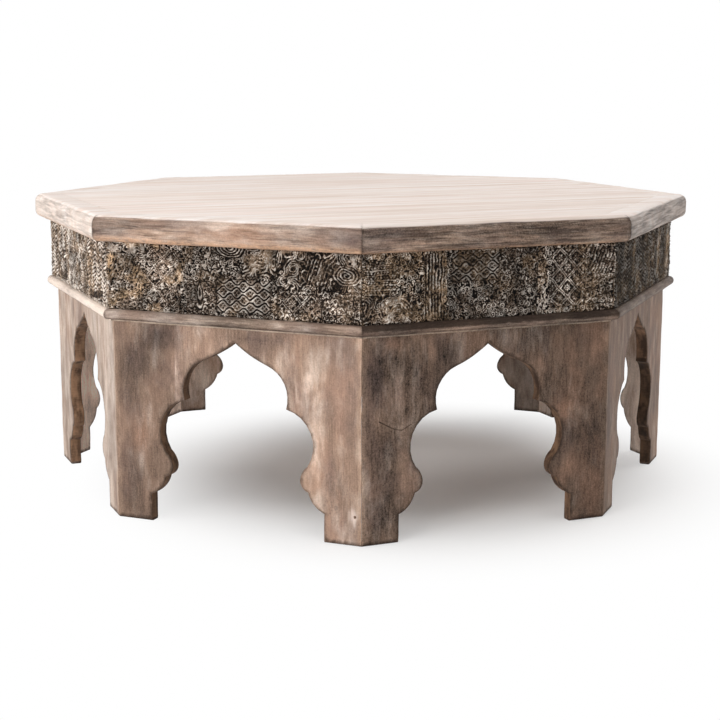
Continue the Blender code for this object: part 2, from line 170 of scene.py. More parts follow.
def hand_work(points, amount):
    """Points moved a little, as edges worked by hand stray from straight; neighbours stray together."""
    x, y, z = points.T
    near_floor = np.clip(z / LEVEL_FEET, 0.0, 1.0)
    # Waves of unlike lengths, so that they never fall in step
    sway = np.sin(61 * x + 23 * z + 0.6) + np.sin(37 * y - 71 * z + 2.1) + 0.6 * np.sin(190 * z + 53 * x)
    drift = np.sin(53 * y + 29 * z + 1.7) + np.sin(43 * x - 67 * z + 0.4) + 0.6 * np.sin(173 * z - 47 * y)
    rise = np.sin(67 * x + 1.1) + np.sin(59 * y + 2.9) + 0.6 * np.sin(139 * (x - y))
    return points + 0.5 * np.stack((amount * sway, amount * drift, amount * rise * near_floor), axis=1)


def to_side(points, side):
    """World points turned into a side's own frame, where it faces -Y."""
    cos, sin = math.cos(-side * SIDE_TURN), math.sin(-side * SIDE_TURN)
    x, y, z = points.T
    return np.stack((cos * x - sin * y, sin * x + cos * y, z), axis=1)


def from_side(points, side):
    """Points of a side's own frame turned to their place on the table."""
    return to_side(points, -side)


def mesh_points(mesh):
    """A mesh's vertices as an array."""
    points = np.empty(len(mesh.vertices) * 3)
    mesh.vertices.foreach_get("co", points)
    return points.reshape(-1, 3)


def add_values(mesh, name, values, kind="FLOAT", domain="POINT"):
    """Stores an array on a mesh under a name that a material can read."""
    field = {"FLOAT": "value", "FLOAT_VECTOR": "vector", "FLOAT_COLOR": "color"}[kind]
    store = mesh.attributes.new(name, kind, domain)
    store.data.foreach_set(field, np.ascontiguousarray(values, dtype=np.float32).ravel())


def new_mesh(node, points, faces, angle):
    """A mesh for a finished piece, smooth apart from edges that turn further than an angle."""
    mesh = bpy.data.meshes.new(node + "_finished")
    mesh.from_pydata(points.tolist(), [], faces)
    mesh.shade_smooth()
    mesh.set_sharp_from_angle(angle=angle)
    return mesh


def put_in_place(mesh, node, slot, *materials):
    """Makes a finished piece of a mesh, in place of its CAD node."""
    for material in materials:
        mesh.materials.append(material)
    piece = bpy.data.objects.new(node + "_finished", mesh)
    bpy.context.scene.collection.objects.link(piece)
    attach(piece, "root")
    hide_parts(node)


def worked_copy(node, edge_ease, cuts=0, rows=0):
    """A CAD solid with its edges eased and its long and tall edges cut short, as a mesh and its points."""
    solid = bmesh.new()
    solid.from_mesh(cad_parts[node].data)
    bmesh.ops.remove_doubles(solid, verts=solid.verts, dist=WELD_GAP)
    bmesh.ops.dissolve_limit(solid, angle_limit=math.radians(1), verts=solid.verts, edges=solid.edges)
    if cuts:
        long_edges = [edge for edge in solid.edges if edge.calc_length() > LONG_EDGE]
        bmesh.ops.subdivide_edges(solid, edges=long_edges, cuts=cuts, use_grid_fill=True)
    if rows:
        tall_edges = [edge for edge in solid.edges
                      if abs(edge.verts[0].co.z - edge.verts[1].co.z) > TALL_EDGE]
        bmesh.ops.subdivide_edges(solid, edges=tall_edges, cuts=rows, use_grid_fill=True)
    sharp = [edge for edge in solid.edges if edge.is_manifold and edge.calc_face_angle() > SHARP_ANGLE]
    bmesh.ops.bevel(solid, geom=sharp, offset=edge_ease, offset_type="OFFSET", segments=3, profile=0.5,
                    affect="EDGES", clamp_overlap=True)
    mesh = bpy.data.meshes.new(node + "_finished")
    solid.to_mesh(mesh)
    solid.free()
    mesh.shade_smooth()
    mesh.set_sharp_from_angle(angle=SMOOTH_ANGLE)
    return mesh, mesh_points(mesh)


def move_points(mesh, points):
    """Gives a mesh's vertices new places."""
    mesh.vertices.foreach_set("co", np.ascontiguousarray(points).ravel())
    mesh.update()


def panel_outline():
    """The outline of the CAD side panel's face in its own plane: points round the arch, legs and top."""
    solid = bmesh.new()
    solid.from_mesh(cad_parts["side_panel_1"].data)
    bmesh.ops.remove_doubles(solid, verts=solid.verts, dist=WELD_GAP)
    front = {face for face in solid.faces if face.normal.y < -0.99}
    after = {}
    for face in front:
        for loop in face.loops:
            if sum(other in front for other in loop.edge.link_faces) == 1:
                after[loop.vert] = loop.link_loop_next.vert
    start = here = next(iter(after))
    points = []
    while not points or here is not start:
        points.append((here.co.x, here.co.z))
        here = after[here]
    solid.free()
    return np.array(points)


def closely_spaced(points, step):
    """A closed outline with points added on it, so that none is further than a step from the next."""
    spaced = []
    for here, there in zip(points, np.roll(points, -1, axis=0)):
        parts = max(1, math.ceil(np.hypot(*(there - here)) / step))
        spaced.extend(here + (there - here) * part / parts for part in range(parts))
    return np.array(spaced)


def inward(points):
    """For each point of an anticlockwise outline, the step inwards by one, square to both sides."""
    before, after = points - np.roll(points, 1, axis=0), np.roll(points, -1, axis=0) - points
    before, after = (side / np.linalg.norm(side, axis=1)[:, None] for side in (before, after))
    first, second = (np.stack((-side[:, 1], side[:, 0]), axis=1) for side in (before, after))
    both = first + second
    return both * 2 / np.maximum((both * both).sum(axis=1), 0.9)[:, None]


def inside_outline(points, outline):
    """Whether each point lies inside an outline."""
    x, z = points[:, :1], points[:, 1:]
    ax, az = outline.T
    bx, bz = np.roll(outline, -1, axis=0).T
    crosses = (az > z) != (bz > z)
    reach = ax + (z - az) * (bx - ax) / np.where(bz == az, 1.0, bz - az)
    return (np.sum(crosses & (x < reach), axis=1) % 2) == 1


def away_from_points(spots, points):
    """How far each spot lies from the nearest of some points."""
    return np.min(np.hypot(*(spots[:, None] - points[None]).transpose(2, 0, 1)), axis=1)


def face_middles(mesh):
    """The middle of each face of a mesh."""
    middles = np.empty(len(mesh.polygons) * 3)
    mesh.polygons.foreach_get("center", middles)
    return middles.reshape(-1, 3)


def for_side(table, side):
    """What a table says for a side, or its row 0 if it does not name the side."""
    return table.get(side + 1, table[0])


def wood_values(mesh, grain, tones, seed, boards=None, wear=(0.0, 0.0, 0.0), top=None):
    """Stores what the wood materials read.

    'grain' is the place in the board with x along the grain. 'shift' moves it, so that no two boards show
    the same figure, and 'tone' is how light, how warm, how limewashed and how marked each board is; its
    lightness is partly painted light and shade of the board's side. 'wear' holds where the stain is rubbed
    off, where the top's limewash runs over, and where the wood is darkened: dirt in its joints and marks,
    painted shade under the beads and in the crease of each bead, and darker edges, feet and bead tops.
    'top_grain' is the place in the grain of that limewash, and boards gives the board of each face.
    """
    add_values(mesh, "grain", grain, "FLOAT_VECTOR")
    add_values(mesh, "top_grain", grain if top is None else top, "FLOAT_VECTOR")
    wear = [share * np.ones(len(grain)) for share in wear]
    add_values(mesh, "wear", np.stack(wear, axis=1), "FLOAT_VECTOR")
    boards = np.zeros(len(mesh.polygons), int) if boards is None else boards
    shifts = np.random.default_rng(seed).uniform(-SHIFT_REACH, SHIFT_REACH, (len(tones), 3))
    add_values(mesh, "shift", shifts[boards], "FLOAT_VECTOR", "FACE")
    add_values(mesh, "tone", np.array(tones)[boards], "FLOAT_COLOR", "FACE")


# Materials

# Options for mixes of colours, which give their third output, and for masks with soft borders
RGBA = {"data_type": "RGBA", "out": 2}
SMOOTH = {"interpolation_type": "SMOOTHSTEP"}
# Shares of x, y and z that draw the top's figure out along its boards
ALONG_TOP = (0.06, 1, 1)


def add_node(tree, kind, inputs, out=0, **options):
    """Adds one node, sets its options and inputs, and gives one of its outputs.

    An input is a value or another node's output. All outputs are given if out is None.
    """
    node = tree.nodes.new("ShaderNode" + kind)
    for option, value in options.items():
        setattr(node, option, value)
    for socket, value in inputs.items():
        if isinstance(value, bpy.types.NodeSocket):
            tree.links.new(value, node.inputs[socket])
        else:
            node.inputs[socket].default_value = value
    return node.outputs if out is None else node.outputs[out]


def new_material(name):
    """An empty node material and its tree."""
    material = bpy.data.materials.new(name)
    material.use_nodes = True
    material.node_tree.nodes.clear()
    return material, material.node_tree


def streaked_limewash(tree, place):
    """The colour of limewashed boards.

    To the eye: soft bands along the grain, tan, pink or chalky, and thin lines of darker wood. Pores are
    finer than a pixel, so the thin lines stand for bundles of them.
    """
    colours = bpy.context.scene.table_colours
    drawn = add_node(tree, "VectorMath", {0: place, 1: ALONG_TOP}, operation="MULTIPLY")
    bands = add_node(tree, "TexNoise", {"Vector": drawn, "Scale": 1 / (22 * MM), "Detail": 6.0,
                                        "Roughness": 0.62}, "Color")
    bands = add_node(tree, "SeparateColor", {"Color": bands}, None)
    lines = add_node(tree, "TexNoise", {"Vector": drawn, "Scale": 1 / (3.2 * MM), "Detail": 2.0,
                                        "Roughness": 0.6})
    paint = colours.top_dark
    for value, low, high, most, layer in (
            (bands["Red"], 0.36, 0.62, 1.0, colours.top_mid),
            (bands["Blue"], 0.48, 0.66, 0.7, colours.top_pink),
            (bands["Green"], 0.42, 0.70, 0.8, colours.top_light),
            (lines, 0.50, 0.72, 0.55, colours.top_dark)):
        mask = add_node(tree, "MapRange", {"Value": value, "From Min": low, "From Max": high, "To Max": most},
                        **SMOOTH)
        paint = add_node(tree, "Mix", {0: mask, 6: paint, 7: layer}, **RGBA)
    return paint


def stained_wood(name, dark, mid, light, rubbed, fibre, figure, streak, mottle, brush, smear, roughness):
    """Mango stained grey brown, limewashed and rubbed back.

    To the eye: streaks along the grain in two widths, clouds of mauve stain, bare brown wood and limewash,
    bent strokes of the rag, specks and scratches, wear along the edges, dirt in the corners, painted shade
    under the beads and in their creases, and a dull surface. fibre and figure are the widths of the fine and
    the broad streaks in millimetres. Real pores are finer than a pixel, so the fine streaks stand for bundles
    of them. streak, mottle, brush and smear say how strongly the streaks, the mauve clouds, the scratches and
    the strokes show.
    """
    colours = bpy.context.scene.table_colours
    material, tree = new_material(name)
    grain, top_place, shift, wear, stain = (add_node(tree, "Attribute", {}, "Vector", attribute_name=field)
                                            for field in ("grain", "top_grain", "shift", "wear", "stain"))
    tone = add_node(tree, "Attribute", {}, None, attribute_name="tone")
    marks = tone["Alpha"]
    tone = add_node(tree, "SeparateColor", {"Color": tone["Color"]}, None)
    lighter, warmer, greyer = add_node(tree, "SeparateXYZ", {"Vector": stain}, None)
    rub, pale, dirt_and_shade = add_node(tree, "SeparateXYZ", {"Vector": wear}, None)

    # Patterns: each reads the place, drawn out along the grain by a share, and has a size in millimetres
    place = add_node(tree, "VectorMath", {0: grain, 1: shift}, operation="ADD")
    bend = add_node(tree, "TexNoise", {"Vector": place, "Scale": 1 / (70 * MM), "Detail": 2.0}, "Color")
    bent = add_node(tree, "VectorMath", {0: bend, 1: (20 * MM, 14 * MM, 0), 2: place},
                    operation="MULTIPLY_ADD")
    drawn, patchy, stroked, scored = (
        add_node(tree, "VectorMath", {0: where, 1: (share, 1, 1)}, operation="MULTIPLY")
        for where, share in ((place, 0.07), (bent, 0.6), (bent, 0.32), (bent, 0.13)))
    broad, fine, scuff, grit, wiping, scratch, blotch = (
        add_node(tree, "TexNoise", {"Vector": where, "Scale": 1 / (size * MM), "Detail": detail,
                                    "Roughness": rough, "Distortion": distortion}, out)
        for where, size, detail, rough, distortion, out in (
            (drawn, figure, 5.0, 0.62, 0.5, "Fac"), (drawn, fibre, 3.0, 0.7, 0.0, "Fac"),
            (patchy, 7, 6.0, 0.7, 0.0, "Fac"), (place, 2.4, 4.0, 0.8, 0.0, "Fac"),
            (stroked, 15, 4.0, 0.56, 0.0, "Fac"), (scored, 2.2, 2.0, 0.6, 0.0, "Fac"),
            (patchy, 58, 4.0, 0.55, 0.0, "Color")))
    blotch = add_node(tree, "SeparateColor", {"Color": blotch}, None)

    # Masks: where each colour lies
    wash_edge = add_node(tree, "MapRange", {"Value": tone["Blue"], "To Min": 0.75, "To Max": 0.30})
    caught = add_node(tree, "Mix", {0: 0.45, 2: blotch["Blue"], 3: wiping})
    washed = add_node(tree, "Math", {0: caught, 1: wash_edge}, operation="SUBTRACT")
    limed = add_node(tree, "Math", {0: broad, 1: pale}, operation="ADD")
    dirt_and_shade_noise = add_node(tree, "Math", {0: scuff, 1: dirt_and_shade}, operation="ADD")
    broad_mask, fine_mask, mauve_mask, warm_mask, wash_mask, rub_mask, pale_mask, dirt_and_shade_mask = (
        add_node(tree, "MapRange", {"Value": value, "From Min": low, "From Max": high, "To Min": least,
                                    "To Max": most}, **SMOOTH)
        for value, low, high, least, most in (
            (broad, 0.36, 0.64, 1.0 - streak, 1.0), (fine, 0.44, 0.74, 0.0, 0.5 * streak),
            (blotch["Red"], 0.44, 0.60, 0.0, mottle), (blotch["Green"], 0.42, 0.60, 0.0, 1.0),
            (washed, -0.12, 0.20, 0.0, 0.5), (scuff, 0.30, 0.58, 0.0, 1.0),
            (limed, 0.60, 1.30, 0.0, 1.0), (dirt_and_shade_noise, 0.75, 1.45, 0.0, 0.85)))
    mauve_mask = add_node(tree, "Math", {0: mauve_mask, 1: greyer}, operation="ADD")
    warm_mask = add_node(tree, "Math", {0: warm_mask, 1: tone["Green"], 2: warmer}, operation="MULTIPLY_ADD")
    rub_mask = add_node(tree, "Math", {0: rub_mask, 1: rub}, operation="MULTIPLY")

    # How light the wood is: marks of every width, then the large stains, broken along the strokes
    level = 0.0
    for value, low, high, swing in ((scratch, 0.34, 0.66, 0.6 * brush), (grit, 0.28, 0.72, 1.5 * brush),
                                    (blotch["Green"], 0.36, 0.64, 1.5 * smear), (wiping, 0.32, 0.68, smear)):
        mark = add_node(tree, "MapRange", {"Value": value, "From Min": low, "From Max": high,
                                           "To Min": -swing, "To Max": swing})
        level = add_node(tree, "Math", {0: level, 1: mark}, operation="ADD")
    level = add_node(tree, "Math", {0: level, 1: marks, 2: 1.0}, operation="MULTIPLY_ADD")
    broken = add_node(tree, "Mix", {0: 0.5, 2: scuff, 3: wiping})
    broken = add_node(tree, "MapRange", {"Value": broken, "From Min": 0.40, "From Max": 0.60, "To Min": 0.1,
                                         "To Max": 1.05})
    level = add_node(tree, "Math", {0: lighter, 1: broken, 2: level}, operation="MULTIPLY_ADD")
    for share in (tone["Red"], TONE_SCALE):
        level = add_node(tree, "Math", {0: level, 1: share}, operation="MULTIPLY")

    paint = dark
    for mask, layer in ((broad_mask, mid), (fine_mask, light), (mauve_mask, colours.mauve),
                        (warm_mask, colours.warm), (wash_mask, colours.limewash), (rub_mask, rubbed)):
        paint = add_node(tree, "Mix", {0: mask, 6: paint, 7: layer}, **RGBA)
    paint = add_node(tree, "VectorMath", {0: paint, "Scale": level}, operation="SCALE")
    for mask, layer in ((pale_mask, streaked_limewash(tree, top_place)), (dirt_and_shade_mask, colours.soot_and_shade)):
        paint = add_node(tree, "Mix", {0: mask, 6: paint, 7: layer}, **RGBA)
    height = add_node(tree, "Mix", {0: 0.5, 2: fine, 3: scratch})
    bump = add_node(tree, "Bump", {"Height": height, "Strength": 0.3, "Distance": 0.7 * MM})
    gloss = add_node(tree, "MapRange", {"Value": blotch["Blue"], "From Min": 0.3, "From Max": 0.7,
                                        "To Min": roughness, "To Max": roughness + 0.15})
    gloss = add_node(tree, "Mix", {0: dirt_and_shade_mask, 2: gloss, 3: 0.95})
    surface = add_node(tree, "BsdfPrincipled", {"Base Color": paint, "Roughness": gloss, "Normal": bump,
                                                "IOR": 1.45, "Specular IOR Level": 0.2})
    add_node(tree, "OutputMaterial", {"Surface": surface}, None)
    return material


def limewashed_mango_sanded():
    """The top boards: sanded smooth and limewashed, so pale, close and silky, with thin streaks."""
    material, tree = new_material("limewashed_mango_sanded")
    place = add_node(tree, "Attribute", {}, "Vector", attribute_name="top_grain")
    paint = streaked_limewash(tree, place)
    drawn = add_node(tree, "VectorMath", {0: place, 1: ALONG_TOP}, operation="MULTIPLY")
    # Pores are finer than a pixel: these stand for bundles of them
    fibres = add_node(tree, "TexNoise", {"Vector": drawn, "Scale": 1 / (2.2 * MM), "Detail": 3.0,
                                         "Roughness": 0.7})
    bump = add_node(tree, "Bump", {"Height": fibres, "Strength": 0.2, "Distance": 0.5 * MM})
    gloss = add_node(tree, "MapRange", {"Value": fibres, "From Min": 0.3, "From Max": 0.7, "To Min": 0.55,
                                        "To Max": 0.68})
    surface = add_node(tree, "BsdfPrincipled", {"Base Color": paint, "Roughness": gloss, "Normal": bump,
                                                "IOR": 1.45, "Specular IOR Level": 0.35})
    add_node(tree, "OutputMaterial", {"Surface": surface}, None)
    return material


def stained_mango_rubbed():
    """The lippings: stained, then rubbed back by hand, so streaky, bare brown below and pale above."""
    colours = bpy.context.scene.table_colours
    return stained_wood("stained_mango_rubbed", colours.lipping_dark, colours.lipping_mid,
                        colours.lipping_light, colours.lipping_bare, fibre=2.2, figure=5.5, streak=0.95,
                        mottle=0.4, brush=0.18, smear=0.06, roughness=0.5)


def stained_mango_planed():
    """The side panels: planed, stained and thinly limewashed, so clouded brown grey and faintly streaked."""
    colours = bpy.context.scene.table_colours
    return stained_wood("stained_mango_planed", colours.panel_dark, colours.panel_mid, colours.panel_light,
                        colours.panel_light, fibre=2.4, figure=12, streak=0.4, mottle=0.45, brush=0.21,
                        smear=0.13, roughness=0.55)


def stained_mango_moulded():
    """The beads: run with a moulding plane and stained darker, so streaked and dark under the round edge."""
    colours = bpy.context.scene.table_colours
    return stained_wood("stained_mango_moulded", colours.bead_dark, colours.bead_mid, colours.bead_light,
                        colours.bead_light, fibre=2.2, figure=6, streak=0.9, mottle=0.4, brush=0.16,
                        smear=0.08, roughness=0.52)


def mango_bandsawn():
    """The battens and the cut edges of the arches: left from the saw and stained, so patchy and ridged."""
    name = "mango_bandsawn"
    if name in bpy.data.materials:
        return bpy.data.materials[name]
    colours = bpy.context.scene.table_colours
    material, tree = new_material(name)
    place = add_node(tree, "Attribute", {}, "Vector", attribute_name="grain")
    teeth = add_node(tree, "VectorMath", {0: place, 1: (1, 0.3, 0.2)}, operation="MULTIPLY")
    ridges = add_node(tree, "TexNoise", {"Vector": teeth, "Scale": 1 / (2 * MM), "Detail": 3.0})
    drawn = add_node(tree, "VectorMath", {0: place, 1: (0.3, 1, 1)}, operation="MULTIPLY")
    patch = add_node(tree, "TexNoise", {"Vector": drawn, "Scale": 1 / (14 * MM), "Detail": 6.0,
                                        "Roughness": 0.6})
    both = add_node(tree, "Mix", {0: 0.85, 2: ridges, 3: patch})
    mask = add_node(tree, "MapRange", {"Value": both, "From Min": 0.36, "From Max": 0.66}, **SMOOTH)
    paint = add_node(tree, "Mix", {0: mask, 6: colours.sawn_dark, 7: colours.sawn_light}, **RGBA)
    tone = add_node(tree, "Attribute", {}, "Color", attribute_name="tone")
    tone = add_node(tree, "SeparateColor", {"Color": tone}, "Red")
    level = add_node(tree, "Math", {0: tone, 1: TONE_SCALE}, operation="MULTIPLY")
    paint = add_node(tree, "VectorMath", {0: paint, "Scale": level}, operation="SCALE")
    bump = add_node(tree, "Bump", {"Height": ridges, "Strength": 0.25, "Distance": 0.6 * MM})
    surface = add_node(tree, "BsdfPrincipled", {"Base Color": paint, "Roughness": 0.75, "Normal": bump,
                                                "IOR": 1.45, "Specular IOR Level": 0.25})
    add_node(tree, "OutputMaterial", {"Surface": surface}, None)
    return material


def carved_teak_inked():
    """Old hand printing blocks: teak cut with lines, so black with ink in the grooves, worn pale on top."""
    colours = bpy.context.scene.table_colours
    material, tree = new_material("carved_teak_inked")
    place = add_node(tree, "Attribute", {}, "Vector", attribute_name="grain")
    relief, worn = (add_node(tree, "Attribute", {}, "Fac", attribute_name=field)
                    for field in ("relief", "worn"))
    tone = add_node(tree, "Attribute", {}, "Color", attribute_name="tone")
    tone = add_node(tree, "SeparateColor", {"Color": tone}, None)
    grit = add_node(tree, "TexNoise", {"Vector": place, "Scale": 1 / (2.6 * MM), "Detail": 4.0,
                                       "Roughness": 0.7})
    patch = add_node(tree, "TexNoise", {"Vector": place, "Scale": 1 / (17 * MM), "Detail": 3.0}, "Color")
    patch = add_node(tree, "SeparateColor", {"Color": patch}, None)
    chalk = add_node(tree, "Math", {0: grit, 1: patch["Red"]}, operation="ADD")
    low, high, limed = (
        add_node(tree, "MapRange", {"Value": value, "From Min": least, "From Max": most}, **SMOOTH)
        for value, least, most in ((relief, 0.14, 0.62), (relief, 0.38, 0.90), (chalk, 0.72, 1.20)))
    for share in (limed, tone["Blue"]):
        high = add_node(tree, "Math", {0: high, 1: share}, operation="MULTIPLY")
    bare = worn
    for share in (tone["Green"], low):
        bare = add_node(tree, "Math", {0: bare, 1: share}, operation="MULTIPLY")
    paint = colours.groove
    for mask, layer in ((low, colours.slope), (bare, colours.bare), (high, colours.crest)):
        paint = add_node(tree, "Mix", {0: mask, 6: paint, 7: layer}, **RGBA)
    inked = add_node(tree, "MapRange", {"Value": patch["Green"], "From Min": 0.34, "From Max": 0.66,
                                        "To Min": 1.0, "To Max": 3.0})
    level = add_node(tree, "Math", {0: tone["Red"], 1: inked}, operation="MULTIPLY")
    paint = add_node(tree, "VectorMath", {0: paint, "Scale": level}, operation="SCALE")
    bump = add_node(tree, "Bump", {"Height": grit, "Strength": 0.4, "Distance": 0.7 * MM})
    surface = add_node(tree, "BsdfPrincipled", {"Base Color": paint, "Roughness": 0.7, "Normal": bump,
                                                "IOR": 1.5, "Specular IOR Level": 0.12})
    add_node(tree, "OutputMaterial", {"Surface": surface}, None)
    return material


# Carving

# Places and sizes are in millimetres, and heights go from 0, the groove, to 1
NOISE_CELLS = 64
FAR_AWAY = 1e9
FULL_TURN = 6.283
LATTICE_REACH = 14.0
WAVE_REACH, WAVE_RISE, WAVE_SWING = 10.5, 9.6, 3.0
UPRIGHT_PITCH, UPRIGHT_WIDTH = 4.6, 2.2
STROKE_PITCH, STROKE_WIDTH, STROKE_LEAN = 5.2, 2.6, 0.4
COURSE_PITCH, COURSE_WIDTH = 6.6, 2.8
RING_WIDTH = 2.1
DROP_WIDTH, DROP_LINE = 18.0, 2.3
# How high the face reaches on a block's texture sheet, and where its back begins
FACE_SHEET, BACK_SHEET = 0.88, 0.90


def ridge(distance, width):
    """A rounded line of a width, at a distance from its middle."""
    return 1.0 - ease(0.28, 0.72, np.abs(distance) / width)


def nearest(value, pitch):
    """Distance to the nearest of a row of places a pitch apart."""
    return (np.mod(value / pitch + 0.5, 1.0) - 0.5) * pitch


def cloud(u, v, size, seed):
    """Smooth random patches of about a size, from 0 to 1."""
    table = np.random.default_rng(seed).random((NOISE_CELLS, NOISE_CELLS))
    total = 0.0
    for share, scale in ((0.65, size), (0.35, size * 0.45)):
        col, row = np.floor(u / scale).astype(int), np.floor(v / scale).astype(int)
        s, t = ease(0, 1, u / scale - col), ease(0, 1, v / scale - row)
        near, far, near_up, far_up = (table[(col + right) % NOISE_CELLS, (row + up) % NOISE_CELLS]
                                      for up in (0, 1) for right in (0, 1))
        total = total + share * ((near * (1 - s) + far * s) * (1 - t) + (near_up * (1 - s) + far_up * s) * t)
    return total


def blossom(u, v, radius, count):
    """A flower with round petals about a dot."""
    far = np.hypot(u, v) / radius
    lobes = 0.5 + 0.5 * np.cos(count * np.arctan2(v, u))
    petal = ease(0.0, 0.3, 0.70 + 0.30 * lobes - far) * ease(0.26, 0.42, far) * (0.35 + 0.65 * lobes)
    return np.maximum(petal, 1.0 - ease(0.12, 0.30, far))


def in_box(u, v, wide, tall):
    """How far each place lies inside a field's edges."""
    return np.minimum(np.minimum(u, wide - u), np.minimum(v, tall - v))


def spare(size, step):
    """What is left over at each end when whole steps lie in the middle of a size."""
    return (size - int(size / step) * step) / 2


# Motifs

# Each takes places from the lower left corner of its field, the field's size and a seed, and gives the height
# and how far inside the motif each place lies

def lattice(u, v, wide, tall, seed):
    """A slanted lattice of double lines with an eight-petalled flower in each cell."""
    left, low = spare(wide, LATTICE_REACH), spare(tall, LATTICE_REACH)
    x, y = (u - left) / LATTICE_REACH, (v - low) / LATTICE_REACH
    p, q = (x + y) / 2, (x - y) / 2
    side = LATTICE_REACH * math.sqrt(2)
    line = side * np.minimum(np.abs(nearest(p - 0.5, 1)), np.abs(nearest(q - 0.5, 1)))
    flower = blossom(side * nearest(p, 1), side * nearest(q, 1), 0.34 * side, 8)
    height = np.maximum(ridge(line - 1.4, 1.5), flower)
    return height, in_box(u - left, v - low, wide - 2 * left, tall - 2 * low)


def waves(u, v, wide, tall, seed):
    """Rows of wavy grooves that part and meet, a rim on each bank, and a dotted flower in each opening."""
    left, low = spare(wide, WAVE_REACH), spare(tall, WAVE_RISE)
    x, y = (u - left) / WAVE_REACH, (v - low) / WAVE_RISE
    bank = np.full_like(u, FAR_AWAY)
    for step in (-1, 0, 1):
        row = np.floor(y) + step
        angle = math.pi * (x + row)
        slope = WAVE_SWING * math.pi / WAVE_REACH * np.sin(angle)
        away = ((y - row - 0.5) * WAVE_RISE - WAVE_SWING * np.cos(angle)) / np.sqrt(1 + slope * slope)
        bank = np.minimum(bank, np.abs(away))
    row = np.round(y)
    across, up = WAVE_REACH * nearest(x - row, 2), WAVE_RISE * (y - row)
    lobes = 0.5 + 0.5 * np.cos(4 * np.arctan2(up, across))
    dots = ridge(np.hypot(across, up) - 2.6, 2.2) * ease(0.35, 0.8, lobes)
    height = np.maximum(ridge(bank - 2.1, 2.0), 0.62 * ease(3.0, 4.0, bank) * (1.0 - dots))
    return height, in_box(u - left, v - low, wide - 2 * left, tall - 2 * low)


def rings(u, v, wide, tall, seed):
    """A whorl: a line that winds round an eye, flattened and a little bent."""
    radius = min(wide, tall) / 2
    x, y = u - wide / 2, v - tall / 2 + 3.0 * (cloud(u, v, 14, seed + 5) - 0.5)
    far = np.hypot(0.8 * x, 1.2 * y)
    wound = far - 2 * RING_WIDTH * np.arctan2(y, x) / (2 * math.pi)
    return ridge(nearest(wound, 2 * RING_WIDTH), 0.8 * RING_WIDTH), radius - far


def drops(u, v, wide, tall, seed):
    """Upright drops in a row, drawn with nested outlines."""
    count = max(1, int(wide / DROP_WIDTH))
    turn = np.linspace(0, math.pi, 40)
    outline_x, outline_y = np.sin(turn) * np.sin(turn / 2), np.cos(turn)
    x = np.abs(nearest(u - wide / count / 2, wide / count)) * 2 / DROP_WIDTH
    y = (v - tall / 2) * 2 / tall
    reach = np.interp(np.arctan2(x, y), np.arctan2(outline_x, outline_y), np.hypot(outline_x, outline_y))
    inside = (1 - np.hypot(x, y) / reach) * DROP_WIDTH / 2
    return ridge(nearest(inside - DROP_LINE / 2, 2 * DROP_LINE), 0.7 * DROP_LINE), inside


def uprights(u, v, wide, tall, seed):
    """Close upright lines, a little bent and broken."""
    bend = 1.6 * (cloud(u, v, 12, seed) - 0.5)
    lines = ridge(nearest(u - UPRIGHT_WIDTH / 2 + bend, UPRIGHT_PITCH), 0.8 * UPRIGHT_WIDTH)
    lines = lines * ease(0.15, 0.45, cloud(u, v * 0.5, 6, seed + 1))
    return lines * (0.35 + 1.1 * cloud(u, 0.15 * v, 19, seed + 2)), in_box(u, v, wide, tall)


def dashes(u, v, wide, tall, seed):
    """Upright lines crossed by rows of short strokes that step up and down."""
    lines, inside = uprights(u, v, wide, tall, seed)
    rows = ridge(nearest(v - 0.4 * np.abs(nearest(u, 34.0)), 6.2), 3.4)
    return np.maximum(0.45 * lines, rows * ease(0.1, 0.6, cloud(0.35 * u, v, 8, seed + 3))), inside


def courses(u, v, wide, tall, seed):
    """Level lines with rows of beads between them."""
    bead = np.hypot(nearest(u, 4.6), nearest(v - (COURSE_PITCH + COURSE_WIDTH) / 2, COURSE_PITCH))
    lines = ridge(nearest(v - COURSE_WIDTH / 2, COURSE_PITCH), 0.7 * COURSE_WIDTH)
    return np.maximum(lines, 0.9 - 0.9 * ease(0.9, 1.9, bead)), in_box(u, v, wide, tall)


def strokes(u, v, wide, tall, seed):
    """Slanted strokes of a leaf, bent and broken."""
    bend = 3.0 * (cloud(u, v, 18, seed) - 0.5)
    lines = ridge(nearest(u - STROKE_LEAN * v - STROKE_WIDTH / 2 + bend, STROKE_PITCH), 0.7 * STROKE_WIDTH)
    return lines * ease(0.2, 0.45, cloud(u, v, 8, seed + 1)), in_box(u, v, wide, tall)


def nearest_spot(u, v, pitch, seed):
    """The nearest of a jittered grid of spots.

    Gives how far across and up from it each place is, its own chance, and how much further the next spot is.
    """
    chance = np.random.default_rng(seed).random((NOISE_CELLS, NOISE_CELLS, 3))
    col, row = np.floor(u / pitch).astype(int), np.floor(v / pitch).astype(int)
    best = second = np.full(u.shape, FAR_AWAY)
    across, up, luck = np.zeros_like(u), np.zeros_like(u), np.zeros_like(u)
    for step in (-1, 0, 1):
        for rise in (-1, 0, 1):
            dice = chance[(col + step) % NOISE_CELLS, (row + rise) % NOISE_CELLS]
            du = u - (col + step + 0.15 + 0.7 * dice[..., 0]) * pitch
            dv = v - (row + rise + 0.15 + 0.7 * dice[..., 1]) * pitch
            far = np.hypot(du, dv)
            closer = far < best
            second = np.where(closer, best, np.minimum(second, far))
            best = np.where(closer, far, best)
            across, up = np.where(closer, du, across), np.where(closer, dv, up)
            luck = np.where(closer, dice[..., 2], luck)
    return across, up, luck, second - best


